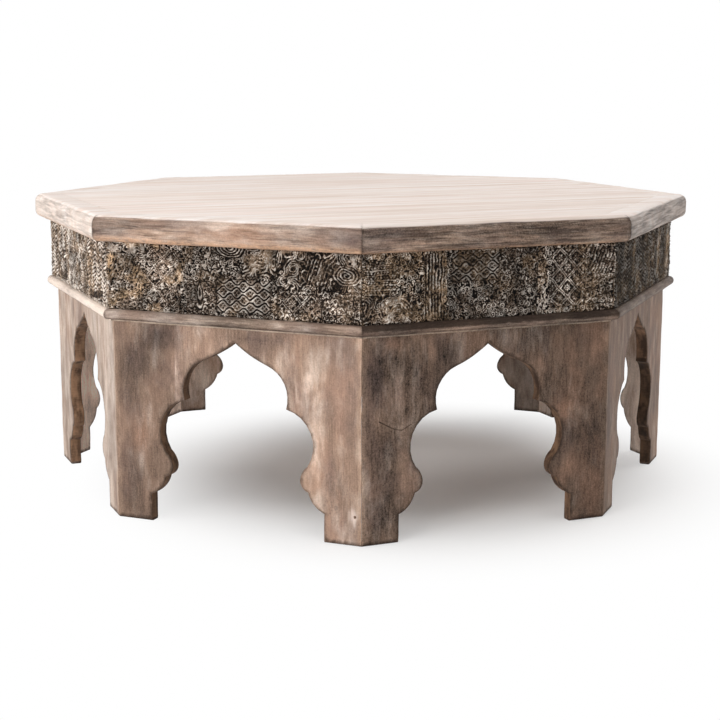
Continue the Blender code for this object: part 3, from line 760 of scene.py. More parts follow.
def tangle(u, v, wide, tall, seed):
    """Worn leaves that run into each other, as thin curled lines, with small ringed flowers among them."""
    swirl = 1.5 * cloud(u, v, 7.5, seed + 50) + 0.6 * cloud(u, v, 3.8, seed + 51)
    lines = ridge(nearest(swirl, 0.42), 0.19)
    across, up, luck, border = nearest_spot(u, v, 11.0, seed + 53)
    far = np.hypot(across, up)
    flower = np.maximum(1.0 - ease(0.7, 1.5, far), ridge(far - 3.1, 1.7))
    height = np.where((far < 4.4) & (luck < 0.6), flower, lines)
    return height * (0.60 + 0.6 * cloud(u, v, 4, seed + 52)), in_box(u, v, wide, tall)


def petals(u, v, wide, tall, seed):
    """Flowers with ringed petals, packed so close that their outlines touch."""
    across, up, luck, border = nearest_spot(u, v, 11.5, seed)
    count = np.floor(4 + 4 * luck)
    far = np.hypot(across, up)
    lobed = far * (1.0 - 0.2 * np.cos(count * np.arctan2(up, across) + FULL_TURN * luck))
    height = ridge(nearest(lobed + 0.6, 4.1), 1.9) * ease(0.8, 2.0, border)
    return np.maximum(height, 0.85 * ridge(border - 2.2, 1.8) * (luck < 0.5)), in_box(u, v, wide, tall)


def scrolls(u, v, wide, tall, seed):
    """Leaves drawn with long bent lines that run beside each other and crowd together at their ends."""
    sweep = 0.5 * v + 64.0 * cloud(u, v, 27, seed) + 4.0 * cloud(u, v, 9, seed + 1)
    slope = np.hypot(*np.gradient(sweep)) / (u[0, 1] - u[0, 0])
    lines = ridge(nearest(sweep, 4.0) / np.maximum(slope, 0.5), 1.9)
    return lines * ease(0.1, 0.35, cloud(u, v, 7, seed + 2)), in_box(u, v, wide, tall)


# What is cut on each block: motif, the left, low, right and high edge of its field as shares of the block,
# and how clearly it still shows. The first motif is the ground, and later ones lie over it
DESIGNS = {
    "leaf_and_lattice": (
        ("tangle", 0, 0, 1, 1, 1), ("petals", 0, 0, 0.46, 0.28, 0.5), ("scrolls", 0, 0.82, 0.5, 1, 0.7),
        ("strokes", 0.04, 0.30, 0.44, 0.80, 0.35), ("lattice", 0.47, 0.06, 0.97, 0.94, 0.42)),
    "waves_and_drop": (
        ("tangle", 0, 0, 1, 1, 1), ("petals", 0, 0, 0.34, 0.5, 0.5), ("scrolls", 0.62, 0.58, 1, 1, 0.6),
        ("drops", 0.05, 0.08, 0.28, 0.58, 0.7), ("waves", 0.32, 0.04, 0.97, 0.56, 0.95),
        ("rings", 0.36, 0.62, 0.64, 1.36, 0.75)),
    "whorls": (
        ("tangle", 0, 0, 1, 1, 1), ("petals", 0, 0, 1, 0.46, 0.7), ("scrolls", 0, 0.44, 1, 1, 0.62),
        ("lattice", 0.03, 0.04, 0.58, 0.46, 0.45), ("strokes", 0.34, 0.50, 0.62, 0.90, 0.4),
        ("rings", 0.68, 0.46, 0.97, 0.90, 0.6)),
    "borders": (
        ("tangle", 0, 0, 1, 1, 1), ("scrolls", 0, 0, 0.6, 0.4, 0.6), ("courses", 0.04, 0.40, 0.40, 0.84, 0.5),
        ("drops", 0.04, 0.05, 0.66, 0.35, 0.3), ("uprights", 0.72, 0.04, 0.97, 0.96, 0.6)),
    "dark_lattice": (
        ("tangle", 0, 0, 1, 1, 1), ("petals", 0.5, 0.4, 1, 1, 0.5), ("waves", 0.03, 0.50, 0.58, 0.97, 0.75),
        ("drops", 0.06, 0.06, 0.94, 0.40, 0.25)),
    "rosettes": (
        ("tangle", 0, 0, 1, 1, 1), ("petals", 0.6, 0, 1, 0.55, 0.6), ("lattice", 0.14, 0.06, 0.62, 0.96, 0.6),
        ("strokes", 0.66, 0.54, 0.97, 0.94, 0.5)),
    "upright_strokes": (
        ("tangle", 0, 0, 1, 1, 1), ("dashes", 0.04, 0.05, 0.96, 0.95, 0.85)),
    "open_lattice": (
        ("tangle", 0, 0, 1, 1, 1), ("lattice", 0.04, 0.05, 0.96, 0.95, 0.9)),
}
MOTIFS = {motif.__name__: motif for motif in (lattice, waves, rings, drops, uprights, dashes, courses,
                                              strokes, tangle, petals, scrolls)}

# For each side, from side 1: the designs of its blocks a, b and c
SIDE_DESIGNS = (
    ("borders", "dark_lattice", "rosettes"),
    ("upright_strokes", "upright_strokes", "open_lattice"),
    ("whorls", "leaf_and_lattice", "borders"),
    ("open_lattice", "waves_and_drop", "upright_strokes"),
    ("rosettes", "borders", "whorls"),
    ("dark_lattice", "open_lattice", "leaf_and_lattice"),
    ("upright_strokes", "rosettes", "upright_strokes"),
    ("leaf_and_lattice", "waves_and_drop", "whorls"),
)


def carved_height(u, v, wide, tall, design, seed):
    """The carving of one block as heights from 0 to 1, and where it is worn off, from 0 to 1."""
    ragged = 2.5 * (cloud(u, v, 9, seed) - 0.5)
    bent_u = u + 2.0 * (cloud(u, v, 17, seed + 40) - 0.5) + 2.2 * (cloud(u, v, 6, seed + 42) - 0.5)
    bent_v = v + 2.0 * (cloud(u, v, 17, seed + 41) - 0.5) + 2.2 * (cloud(u, v, 6, seed + 43) - 0.5)
    height = np.zeros_like(u)
    for number, (motif, left, low, right, high, clear) in enumerate(DESIGNS[design]):
        cut, inside = MOTIFS[motif](bent_u - left * wide, bent_v - low * tall, (right - left) * wide,
                                    (high - low) * tall, seed + number)
        if number:
            inside = inside + ragged
            cut = cut * ease(0.2, 1.4, inside)
            height = np.where(inside > 0, clear * cut + (1.0 - clear) * height, height)
        else:
            height = cut
    worn = ease(0.42, 0.70, cloud(u, v, 26, seed + 21))
    chips = cloud(u, v, 2.8, seed + 22)
    height = height * (1.0 - 0.5 * worn) + (0.10 + 0.45 * chips) * worn * 0.6
    height = height * (0.55 + 0.90 * chips) * (0.70 + 0.6 * cloud(u, v, 14, seed + 23))
    return np.clip(height, 0.0, 1.0), worn


def carved_block(side, place, material):
    """One carved printing block: a closed mesh with a fine grid for its face and a flat back."""
    sizes = bpy.context.scene.table_sizes
    node = "carved_block_%d%s" % (side + 1, BLOCK_LETTERS[place])
    seed = 100 * (side + 1) + 7 * place
    low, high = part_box("carved_block_1" + BLOCK_LETTERS[place])
    bottom, top = low.z, high.z
    columns = int((high.x - low.x) / sizes.carving_step) + 1
    rows = int((top - bottom) / sizes.carving_step) + 1
    share, rise = np.meshgrid(np.linspace(0, 1, columns), np.linspace(0, 1, rows))
    wide, tall = (high.x - low.x) / MM, (top - bottom) / MM
    u, v = share * wide, rise * tall
    height, worn = carved_height(u, v, wide, tall, SIDE_DESIGNS[side][place], seed)
    name = side + 1, BLOCK_LETTERS[place]
    lighter = np.zeros_like(u)
    for across, up, half_wide, half_tall, light, bare in BLOCK_STAINS.get(name, ()):
        spot = 1.0 - ease(0.3, 1.4, np.hypot((u - across * wide) / half_wide, (v - up * tall) / half_tall))
        lighter += light * spot
        height += 0.5 * max(light, 0.0) * spot * (0.5 - height)
        worn = np.clip(worn + bare * spot, 0.0, 1.0)
    edge = in_box(u, v, wide, tall)
    rounded = 1.3 * (1.0 - ease(0.0, 1.0 + 2.6 * cloud(u, v, 7, seed + 30), edge))
    swell = 0.9 * cloud(u, v, 45, seed + 31)
    depth = sizes.carving_depth * (1.0 - height) + (rounded + swell) * MM
    out = BLOCK_FACE - depth

    def ends(reach):
        """Where the block ends on the left and the right, at a distance out from the table's middle."""
        left = -reach * MITRE_SLOPE + BLOCK_GAP if place == 0 else np.full_like(reach, low.x)
        right = reach * MITRE_SLOPE - BLOCK_GAP if place == 2 else np.full_like(reach, high.x)
        return left, right

    left, right = ends(out)
    front = np.stack((left + share * (right - left), -out, bottom + rise * (top - bottom)), axis=-1)
    number = np.arange(rows * columns).reshape(rows, columns)
    rim = np.concatenate((number[0, :-1], number[:-1, -1], number[-1, :0:-1], number[:0:-1, 0]))
    back_out = np.full(len(rim), BLOCK_BACK)
    left, right = ends(back_out)
    back = np.stack((left + share.ravel()[rim] * (right - left), -back_out,
                     bottom + rise.ravel()[rim] * (top - bottom)), axis=-1)
    middle = back.mean(axis=0)[None]
    points = np.concatenate((front.reshape(-1, 3), back, middle))
    quads = np.stack((number[:-1, :-1], number[:-1, 1:], number[1:, 1:], number[1:, :-1]), axis=-1)
    quads = quads.reshape(-1, 4)
    behind = rows * columns + np.arange(len(rim))
    walls = np.stack((rim, behind, np.roll(behind, -1), np.roll(rim, -1)), axis=-1)
    fan = np.stack((np.roll(behind, -1), behind, np.full(len(rim), len(points) - 1)), axis=-1)
    mesh = new_mesh(node, hand_work(from_side(points, side), sizes.wobble),
                    quads.tolist() + walls.tolist() + fan.tolist(), BLOCK_SMOOTH_ANGLE)
    flat = np.zeros(len(points) - rows * columns)
    add_values(mesh, "relief", np.concatenate((height.ravel(), flat)))
    add_values(mesh, "worn", np.concatenate((worn.ravel(), flat)))
    dice = np.random.default_rng(seed)
    add_values(mesh, "grain", points + dice.uniform(-SHIFT_REACH, SHIFT_REACH, 3), "FLOAT_VECTOR")
    tone = np.tile((*BLOCK_TONES.get(name, BLOCK_TONES[0]), 1.0), (len(points), 1))
    tone[:rows * columns, 0] *= 1.0 + lighter.ravel()
    add_values(mesh, "tone", tone, "FLOAT_COLOR")
    # The face keeps most of the texture sheet, the back a strip above it, and the walls borrow the face's rim
    sheet = np.zeros((len(points), 2))
    sheet[:rows * columns] = np.stack((share.ravel(), rise.ravel() * FACE_SHEET), axis=-1)
    sheet_back = np.zeros((len(points), 2))
    sheet_back[behind, 0] = share.ravel()[rim]
    sheet_back[behind, 1] = BACK_SHEET + (1 - BACK_SHEET) * rise.ravel()[rim]
    sheet_back[-1] = (0.5, (1 + BACK_SHEET) / 2)
    sheet[behind] = sheet[rim]
    corners = np.concatenate((sheet[quads.ravel()], sheet[walls.ravel()], sheet_back[fan.ravel()]))
    layer = mesh.uv_layers.new(name="OFBake")
    layer.data.foreach_set("uv", corners.astype(np.float32).ravel())
    mesh.update()
    put_in_place(mesh, node, "block_wood", material)


# Tones, painted light and shade, and stains

# How light, how warm, how limewashed and how marked each piece is, by its side; sides not named here take
# row 0. A panel has a row for each of its three boards
# The lightness of each named side is partly the wood's own tone and partly painted light and shade, making a
# whole side lighter or darker as light falls on it
LIPPING_TONES = {1: (0.42, 0.05, 0.38, 2.2), 2: (0.25, 0.05, 0.75, 0.4), 7: (0.47, 0.05, 0.85, 0.4),
                 8: (0.56, 0.15, 0.46, 1.0), 0: (0.50, 0.25, 0.50, 1.0)}
BEAD_TONES = {1: (0.52, 0.20, 0.25, 2.2), 2: (0.40, 0.10, 0.45, 1.0), 7: (0.81, 0.00, 0.92, 0.6),
              8: (0.56, 0.10, 0.45, 1.3), 0: (0.50, 0.15, 0.40, 1.0)}
PANEL_TONES = {
    1: ((0.36, 0.15, 0.40, 1.9), (0.35, 0.35, 0.34, 1.8), (0.31, 0.65, 0.28, 1.7)),
    2: ((0.39, 0.30, 0.42, 0.8), (0.38, 0.30, 0.40, 0.8), (0.45, 0.35, 0.40, 0.8)),
    7: ((0.51, 0.10, 0.66, 0.6), (0.52, 0.10, 0.66, 0.6), (0.51, 0.05, 0.70, 0.6)),
    8: ((0.39, 0.15, 0.34, 1.1), (0.66, 0.10, 0.38, 0.9), (0.69, 0.25, 0.40, 0.7)),
    0: ((0.50, 0.25, 0.45, 1.1), (0.48, 0.20, 0.40, 1.1), (0.52, 0.30, 0.45, 1.1)),
}
# The inner faces of the panels, and the cut edges of the arches: the lower part, then the upper. Their
# lightness is painted light and shade for each side: an inner face is lighter or darker as light falls on it,
# and on side 2 the upper part of the cut edge is painted lighter than the lower
PANEL_BACK_TONES = {3: (0.66, 0.05, 0.85, 0.8), 4: (0.34, 0.00, 0.60, 0.8), 5: (0.80, 0.00, 0.56, 0.8),
                    6: (1.32, 0.05, 0.85, 0.8), 0: (0.58, 0.05, 0.36, 1.0)}
EDGE_TONES = {2: ((0.27, 0.2, 0.2, 1.0), (0.72, 0.2, 0.2, 1.0)),
              7: ((0.76, 0.2, 0.2, 1.0), (0.72, 0.2, 0.2, 1.0)),
              0: ((0.50, 0.2, 0.2, 1.0), (0.50, 0.2, 0.2, 1.0))}
BATTEN_TONE = (0.5, 0.2, 0.2, 1.0)
# How light each block is, how bare where it is worn, and how chalky its crests are. The lightness is
# partly painted light and shade, set for each side
BLOCK_TONES = {(1, "a"): (0.71, 0.8, 0.9), (1, "b"): (0.49, 0.7, 0.85), (1, "c"): (0.74, 0.5, 0.9),
               (2, "a"): (0.25, 1.0, 1.0), (2, "b"): (0.28, 1.0, 1.0), (2, "c"): (0.38, 1.0, 1.0),
               (7, "a"): (0.66, 0.4, 0.90), (7, "b"): (0.70, 0.4, 0.90), (7, "c"): (0.88, 0.4, 0.75),
               (8, "a"): (0.73, 0.9, 0.72), (8, "b"): (0.59, 0.4, 0.8), (8, "c"): (0.74, 0.25, 0.85),
               0: (0.5, 0.5, 0.75)}

# How much darker the upper half of each bead is, by side, from 0 to 1
BEAD_UPPER_DARKENING = {1: 0.95, 2: 0.3, 0: 0.0}

# Stains on the blocks of the front and the right sides: place as shares of the block, half sizes in
# millimetres, then how much lighter and how much barer they are
BLOCK_STAINS = {
    (1, "a"): ((0.5, 0.65, 40, 20, -0.1, 0.6), (0.3, 0.15, 40, 14, 0.3, 0.3),
               (0.85, 0.3, 12, 30, -0.3, 0.0)),
    (1, "b"): ((0.25, 0.8, 40, 16, -0.35, -0.3), (0.6, 0.45, 30, 20, -0.1, 0.6),
               (0.45, 0.12, 46, 12, 0.5, -0.3)),
    (1, "c"): ((0.35, 0.5, 24, 34, 0.2, -0.2), (0.8, 0.25, 24, 18, -0.1, 0.4),
               (0.75, 0.8, 24, 14, -0.3, 0.0)),
    (2, "a"): ((0.22, 0.35, 16, 50, -0.45, 0.4), (0.46, 0.75, 12, 30, 0.3, 0.7),
               (0.75, 0.5, 13, 60, -0.5, 0.5), (0.95, 0.7, 10, 30, 0.6, 0.6)),
    (2, "b"): ((0.1, 0.25, 12, 30, 0.5, 0.6), (0.36, 0.6, 16, 45, -0.5, 0.5),
               (0.65, 0.3, 12, 40, -0.4, 0.5), (0.92, 0.6, 12, 50, 0.6, 0.6)),
    (2, "c"): ((0.22, 0.6, 14, 40, 0.8, 0.7), (0.54, 0.4, 12, 50, -0.6, 0.4),
               (0.82, 0.5, 13, 50, 0.9, 0.7)),
    (8, "a"): ((0.75, 0.62, 30, 22, 0.6, -0.5), (0.22, 0.72, 22, 16, -0.35, 0.3),
               (0.05, 0.75, 6, 9, 0.9, 1.0), (0.2, 0.15, 24, 12, 0.3, 0.0), (0.92, 0.1, 18, 12, -0.5, -0.5),
               (0.45, 0.4, 14, 20, 0.2, 0.5)),
    (8, "b"): ((0.1, 0.85, 20, 14, -0.4, 0.0), (0.25, 0.3, 18, 20, 0.3, 0.0),
               (0.85, 0.75, 18, 16, 0.1, 0.9)),
    (8, "c"): ((0.65, 0.25, 40, 16, 0.45, -0.3), (0.25, 0.7, 20, 18, -0.2, 0.6),
               (0.7, 0.75, 30, 14, -0.2, -0.2)),
}

# How high bare brown wood reaches up each lipping, by side, in millimetres
LIPPING_RUBBED = {1: 3, 2: 4, 7: 6, 8: 7, 0: 6}

# How far the top's limewash runs down each lipping, by side, from 0 to 1
LIPPING_LIMED = {2: 0.33, 7: 0.40, 0: 0.0}

# Marks on the panels, by side, in millimetres: the line that a mark follows across and up the panel, half its
# width, its depth, and how far a pale haze of filler spreads round it
PANEL_MARKS = {
    1: (((-168, 176), (-145, 164), (-134, 161.5), (-119, 169)), 1.4, 0.9, 0),
    8: (((184.4, 41.6), (184.6, 42.2)), 2.0, 2.5, 22),
    0: (((0, 0), (1, 0)), 0, 0, 0),
}

# Larger stains on the two front lippings and panels, by side: place across and up and half sizes in
# millimetres, then how much lighter, how warm and how mauve they are
LIPPING_STAINS = {
    1: ((-165, 441, 50, 7, -0.5, 0.0, 0.3), (-140, 425, 60, 9, 1.5, 0.0, 0.2),
        (-60, 430, 40, 8, 0.1, 0.0, 0.0), (20, 424, 40, 7, -0.05, 0.2, 0.0),
        (60, 438, 60, 6, -0.6, 0.0, 0.2), (150, 436, 50, 10, -0.4, 0.0, 0.3)),
    8: ((-120, 440, 70, 7, -0.25, 0.0, 0.4), (-150, 422, 50, 7, 0.25, 0.1, 0.0),
        (5, 430, 65, 20, 0.1, 0.55, 0.0), (148, 427, 14, 8, -0.35, 0.5, 0.0),
        (110, 434, 60, 12, 0.0, 0.0, 0.35), (190, 432, 22, 16, -0.12, 0.0, 0.45)),
}
PANEL_STAINS = {
    1: ((-148, 284, 15, 12, 0.5, 0.7, 0.0), (-142, 218, 12, 28, 0.8, 0.0, 0.4),
        (-173, 235, 15, 37, -0.5, 0.0, 0.5), (-105, 239, 20, 28, -0.4, 0.1, 0.2),
        (-157, 139, 25, 21, -0.5, 0.0, 0.4), (-121, 83, 13, 17, 0.5, 0.0, 0.2),
        (-167, 44, 25, 29, -0.5, 0.0, 0.2), (93, 248, 19, 15, 0.5, 0.1, 0.0),
        (139, 185, 26, 40, 0.1, 0.5, 0.0), (166, 123, 18, 30, -0.4, 0.2, 0.2),
        (124, 102, 11, 25, 0.5, 0.2, 0.0), (192, 275, 11, 20, 0.7, 0.2, 0.0),
        (170, 62, 30, 50, -0.55, 0.1, 0.1)),
    8: ((-158, 243, 19, 34, -0.5, 0.0, 0.6), (-108, 276, 38, 19, -0.4, 0.0, 0.5),
        (-154, 129, 15, 38, -0.2, 0.6, 0.0), (-93, 224, 16, 27, 0.5, 0.0, 0.0),
        (25, 283, 52, 10, -0.4, 0.0, 0.2), (112, 230, 20, 28, 0.4, 0.0, 0.0),
        (162, 182, 12, 42, 0.15, 0.3, 0.0), (147, 105, 10, 29, -0.3, 0.0, 0.7),
        (111, 125, 15, 19, 0.2, 0.2, 0.0), (-165, 42, 28, 20, -0.2, 0.0, 0.2),
        (150, 62, 16, 42, -0.5, 0.0, 0.2)),
}


# Pieces

class TABLE_OT_boards(bpy.types.Operator):
    """Builds the seven limewashed boards of the top"""
    bl_idname = "carved_table.boards"
    bl_label = "Top boards"

    def execute(self, context):
        material = limewashed_mango_sanded()
        dice = np.random.default_rng(BOARD_SEED)
        for board in range(BOARDS):
            node = "top_board_%d" % (board + 1)
            mesh, points = worked_copy(node, context.scene.table_sizes.board_ease)
            add_values(mesh, "top_grain", points + dice.uniform(-SHIFT_REACH, SHIFT_REACH, 3), "FLOAT_VECTOR")
            put_in_place(mesh, node, "board_wood", material)
        return {"FINISHED"}


def stained_places(local, stains):
    """How much lighter, warmer and more mauve the larger stains make each point of a side's piece."""
    total = np.zeros((len(local), 3))
    for across, up, half_wide, half_tall, *amounts in stains:
        far = np.hypot((local[:, 0] / MM - across) / half_wide, (local[:, 2] / MM - up) / half_tall)
        total += np.outer(1.0 - ease(0.2, 1.5, far), amounts)
    return total


def mitre_dirt(local):
    """How much dirt lies in the mitred joints at the ends of a length, from 0 to 1."""
    return ease(-1.6 * MM, -0.3 * MM, np.abs(local[:, 0]) + local[:, 1] * MITRE_SLOPE)


class TABLE_OT_lippings(bpy.types.Operator):
    """Builds the eight mitred lippings round the top"""
    bl_idname = "carved_table.lippings"
    bl_label = "Lippings"

    def execute(self, context):
        sizes = context.scene.table_sizes
        material = stained_mango_rubbed()
        for side in range(SIDES):
            node = "top_lipping_%d" % (side + 1)
            mesh, points = worked_copy(node, sizes.mitre_ease, LENGTH_CUTS, HEIGHT_CUTS)
            local = to_side(points, side)
            height = local[:, 2]
            outer = ease(LIPPING_INSIDE + 10 * MM, TOP_EDGE, -local[:, 1])
            rubbed_to = LIPPING_LOW + for_side(LIPPING_RUBBED, side) * MM
            rub = 0.8 * ease(rubbed_to + 3 * MM, rubbed_to - 3 * MM, height)
            pale = ease(TOP_HEIGHT - 4.5 * MM, TOP_HEIGHT - 0.4 * MM, height)
            pale = np.maximum(pale, for_side(LIPPING_LIMED, side))
            wood_values(mesh, local[:, (0, 2, 1)], [for_side(LIPPING_TONES, side)], LIPPING_SEED + side,
                        wear=(rub, pale, 0.7 * outer * mitre_dirt(local)), top=points)
            stains = stained_places(local, LIPPING_STAINS.get(side + 1, ()))
            add_values(mesh, "stain", stains * outer[:, None], "FLOAT_VECTOR")
            move_points(mesh, hand_work(points, sizes.wobble * outer))
            put_in_place(mesh, node, "lipping_wood", material)
        return {"FINISHED"}


class TABLE_OT_battens(bpy.types.Operator):
    """Builds the two battens under the top"""
    bl_idname = "carved_table.battens"
    bl_label = "Battens"

    def execute(self, context):
        material = mango_bandsawn()
        for batten in range(BATTENS):
            node = "top_batten_%d" % (batten + 1)
            mesh, points = worked_copy(node, context.scene.table_sizes.board_ease)
            wood_values(mesh, points[:, (1, 0, 2)], [BATTEN_TONE], BATTEN_SEED + batten)
            put_in_place(mesh, node, "batten_wood", material)
        return {"FINISHED"}


def away_from_line(spots, line):
    """How far each point lies from a bent line."""
    away = np.full(len(spots), 1.0)
    for here, there in zip(line[:-1], line[1:]):
        run = there - here
        share = np.clip((spots - here) @ run / (run @ run), 0.0, 1.0)
        away = np.minimum(away, np.hypot(*(spots - here - share[:, None] * run).T))
    return away


def side_panel(side, outline, face_material, edge_material):
    """One side panel: a closed mesh with eased edges, a finely divided face and seams between its boards.

    Loops of points run round its edge, from the rim of its face to that of its back.
    """
    sizes = bpy.context.scene.table_sizes
    node = "side_panel_%d" % (side + 1)
    half = PANEL_FACE * MITRE_SLOPE
    thickness = PANEL_FACE + PANEL_HIGH.y
    step = inward(outline)
    mitre = np.abs(outline[:, 0]) > half - 1.5 * MM
    foot = outline[:, 1] < 0.5 * MM
    arch = ~mitre & ~foot & (outline[:, 1] < PANEL_HIGH.z - 1 * MM)
    radius = np.where(arch, sizes.panel_ease, np.where(foot, 1.6 * sizes.panel_ease, 0.6 * sizes.panel_ease))
    round_steps = [math.sin(math.radians(angle)) for angle in (0, 30, 60, 90)]
    loops = [((1 - near) * radius, (1 - math.sqrt(1 - near * near)) * radius) for near in round_steps]
    loops += [(inset, thickness - depth) for inset, depth in reversed(loops)]
    count = len(outline)
    points, wear = [], []
    for inset, depth in loops:
        flat = outline + step * inset[:, None]
        flat[:, 0] -= np.where(mitre, np.sign(flat[:, 0]) * MITRE_SLOPE * depth, 0.0)
        points.append(np.stack((flat[:, 0], depth - PANEL_FACE, flat[:, 1]), axis=1))
        rub = np.where(foot | arch, 0.1, np.where(depth < thickness / 2, 0.4, 0.15))
        wear.append(np.stack((rub, np.zeros(count), np.where(foot, 0.8, np.where(arch, 0.7, 0.15))), axis=1))
    bands = np.arange(len(loops) - 1)
    here = (bands[:, None] * count + np.arange(count)).ravel()
    after = (bands[:, None] * count + np.roll(np.arange(count), -1)).ravel()
    faces = np.stack((here, here + count, after + count, after), axis=1).tolist()
    # The sawn part of the edge leaves out the rounded borders
    wall = np.tile(arch & np.roll(arch, -1), len(bands))
    wall &= np.repeat((bands >= 2) & (bands <= len(loops) - 4), count)
    total = count * len(loops)
    for loop, turned in ((0, False), (len(loops) - 1, True)):
        rim = points[loop][:, (0, 2)]
        line, half_width, deep, haze = for_side(PANEL_MARKS, side)
        line = np.array(line) * MM
        half_width = 0.0 if turned else half_width * MM
        spots = filling_points(rim, line, half_width)
        filled = delaunay_2d_cdt([Vector(spot) for spot in np.concatenate((rim, spots))], [],
                                 [list(range(count))], FILL_INSIDE, FILL_GAP)
        if len(filled[0]) != count + len(spots):
            raise RuntimeError("the face of %s did not fill cleanly" % node)
        place = np.concatenate((loop * count + np.arange(count), total + np.arange(len(spots))))
        away = away_from_points(spots, rim)
        rub = 0.2 * (1.0 - ease(0.5 * MM, sizes.rub_width, away))
        pale = np.zeros(len(spots))
        dirt_and_shade = 0.8 * (1.0 - ease(1 * MM, 9 * MM, spots[:, 1]))
        depth = np.full(len(spots), points[loop][:, 1].mean())
        # On the face, painted shade under the bead: darker over the 12 mm below it
        if not turned:
            dirt_and_shade = np.maximum(dirt_and_shade, 0.45 * ease(BEAD_LOW - 12 * MM, BEAD_LOW, spots[:, 1]))
        if half_width:
            from_mark = away_from_line(spots, line)
            sunk = 1.0 - ease(0.3 * half_width, half_width, from_mark)
            depth += deep * MM * sunk
            dirt_and_shade = np.maximum(dirt_and_shade, 0.7 * sunk)
            pale = 0.42 * (1.0 - ease(0.2 * haze * MM, haze * MM + 0.1 * MM, from_mark)) * (sunk == 0)
        points.append(np.stack((spots[:, 0], depth, spots[:, 1]), axis=1))
        wear.append(np.stack((rub, pale, dirt_and_shade), axis=1))
        total += len(spots)
        for corner in filled[2]:
            face = [int(place[vert]) for vert in corner]
            faces.append(face[::-1] if turned else face)
    points = np.concatenate(points)
    mesh = new_mesh(node, from_side(points, side), faces, SMOOTH_ANGLE)
    middles = to_side(face_middles(mesh), side)
    # Boards 0 to 2 are the face, 3 the back, 4 and 5 the sawn edge below and above a height, whose tones
    # paint light and shade on it
    boards = np.where(middles[:, 0] < -sizes.seam_place, 0, np.where(middles[:, 0] < sizes.seam_place, 1, 2))
    boards = np.where(middles[:, 1] > -PANEL_FACE + 0.8 * thickness, 3, boards)
    edge = np.zeros(len(boards), bool)
    edge[:len(wall)] = wall
    boards = np.where(edge, np.where(middles[:, 2] < EDGE_SPLIT, 4, 5), boards)
    tones = (*for_side(PANEL_TONES, side), for_side(PANEL_BACK_TONES, side), *for_side(EDGE_TONES, side))
    wood_values(mesh, points[:, (2, 0, 1)], tones, PANEL_SEED + side, boards, np.concatenate(wear).T)
    stains = stained_places(points, PANEL_STAINS.get(side + 1, ()))
    add_values(mesh, "stain", stains * (points[:, 1] < 3 * MM - PANEL_FACE)[:, None], "FLOAT_VECTOR")
    mesh.polygons.foreach_set("material_index", edge.astype(np.int32))
    move_points(mesh, hand_work(from_side(points, side), sizes.wobble))
    put_in_place(mesh, node, "panel_wood", face_material, edge_material)


def grid_points(low, high, step):
    """A square grid of points between two corners."""
    return np.stack(np.meshgrid(np.arange(low[0], high[0], step), np.arange(low[1], high[1], step)),
                    axis=-1).reshape(-1, 2)


def filling_points(rim, line, half_width):
    """Points inside a panel's outline: a grid, close rows at its glued seams, closer ones at a mark."""
    sizes = bpy.context.scene.table_sizes
    low, high = rim.min(axis=0), rim.max(axis=0)
    grid = grid_points(low, high, PANEL_GRID)
    grid = grid[np.abs(np.abs(grid[:, 0]) - sizes.seam_place) > 0.6 * PANEL_GRID]
    rise = np.arange(low[1], high[1], 0.4 * PANEL_GRID)
    seams = np.concatenate([np.stack((np.full(len(rise), place), rise), axis=1)
                            for place in (-sizes.seam_place, sizes.seam_place)])
    spots = np.concatenate((grid, seams))
    if half_width:
        close = grid_points(line.min(axis=0) - 2 * half_width, line.max(axis=0) + 2 * half_width,
                            0.4 * half_width)
        spots = np.concatenate((spots[away_from_line(spots, line) > 2 * half_width],
                                close[away_from_line(close, line) < 1.4 * half_width]))
    return spots[inside_outline(spots, rim) & (away_from_points(spots, rim) > 0.4 * PANEL_GRID)]


class TABLE_OT_panels(bpy.types.Operator):
    """Builds the eight side panels with their cusped arches"""
    bl_idname = "carved_table.panels"
    bl_label = "Side panels"

    def execute(self, context):
        face_material = stained_mango_planed()
        edge_material = mango_bandsawn()
        outline = closely_spaced(panel_outline(), OUTLINE_STEP)
        for side in range(SIDES):
            side_panel(side, outline, face_material, edge_material)
        return {"FINISHED"}


class TABLE_OT_beads(bpy.types.Operator):
    """Builds the eight lengths of rounded bead"""
    bl_idname = "carved_table.beads"
    bl_label = "Beads"

    def execute(self, context):
        sizes = context.scene.table_sizes
        material = stained_mango_moulded()
        for side in range(SIDES):
            node = "bead_%d" % (side + 1)
            mesh, points = worked_copy(node, sizes.mitre_ease, LENGTH_CUTS)
            local = to_side(points, side)
            height = local[:, 2] - BEAD_LOW
            rub = 0.55 * ease(3.4 * MM, 2.4 * MM, height)
            # Painted shade: a dark line in the crease where the fillet meets the round of the bead
            corner = 0.65 * (1.0 - ease(0.6 * MM, 4.5 * MM, np.abs(height - 4.6 * MM)))
            # Darker on the upper half of the bead, by side
            dirt = for_side(BEAD_UPPER_DARKENING, side) * ease(7 * MM, 12 * MM, height)
            dirt_and_shade = np.maximum(np.maximum(corner, dirt) * (1.0 - rub), 0.7 * mitre_dirt(local))
            wood_values(mesh, local[:, (0, 2, 1)], [for_side(BEAD_TONES, side)], BEAD_SEED + side,
                        wear=(rub, 0.0, dirt_and_shade))
            move_points(mesh, hand_work(points, sizes.wobble))
            put_in_place(mesh, node, "bead_wood", material)
        return {"FINISHED"}


class TABLE_OT_carving(bpy.types.Operator):
    """Builds the twenty-four carved printing blocks of the skirt"""
    bl_idname = "carved_table.carving"
    bl_label = "Carved blocks"

    def execute(self, context):
        material = carved_teak_inked()
        for side in range(SIDES):
            for place in range(len(BLOCK_LETTERS)):
                carved_block(side, place, material)
        return {"FINISHED"}


# Stage

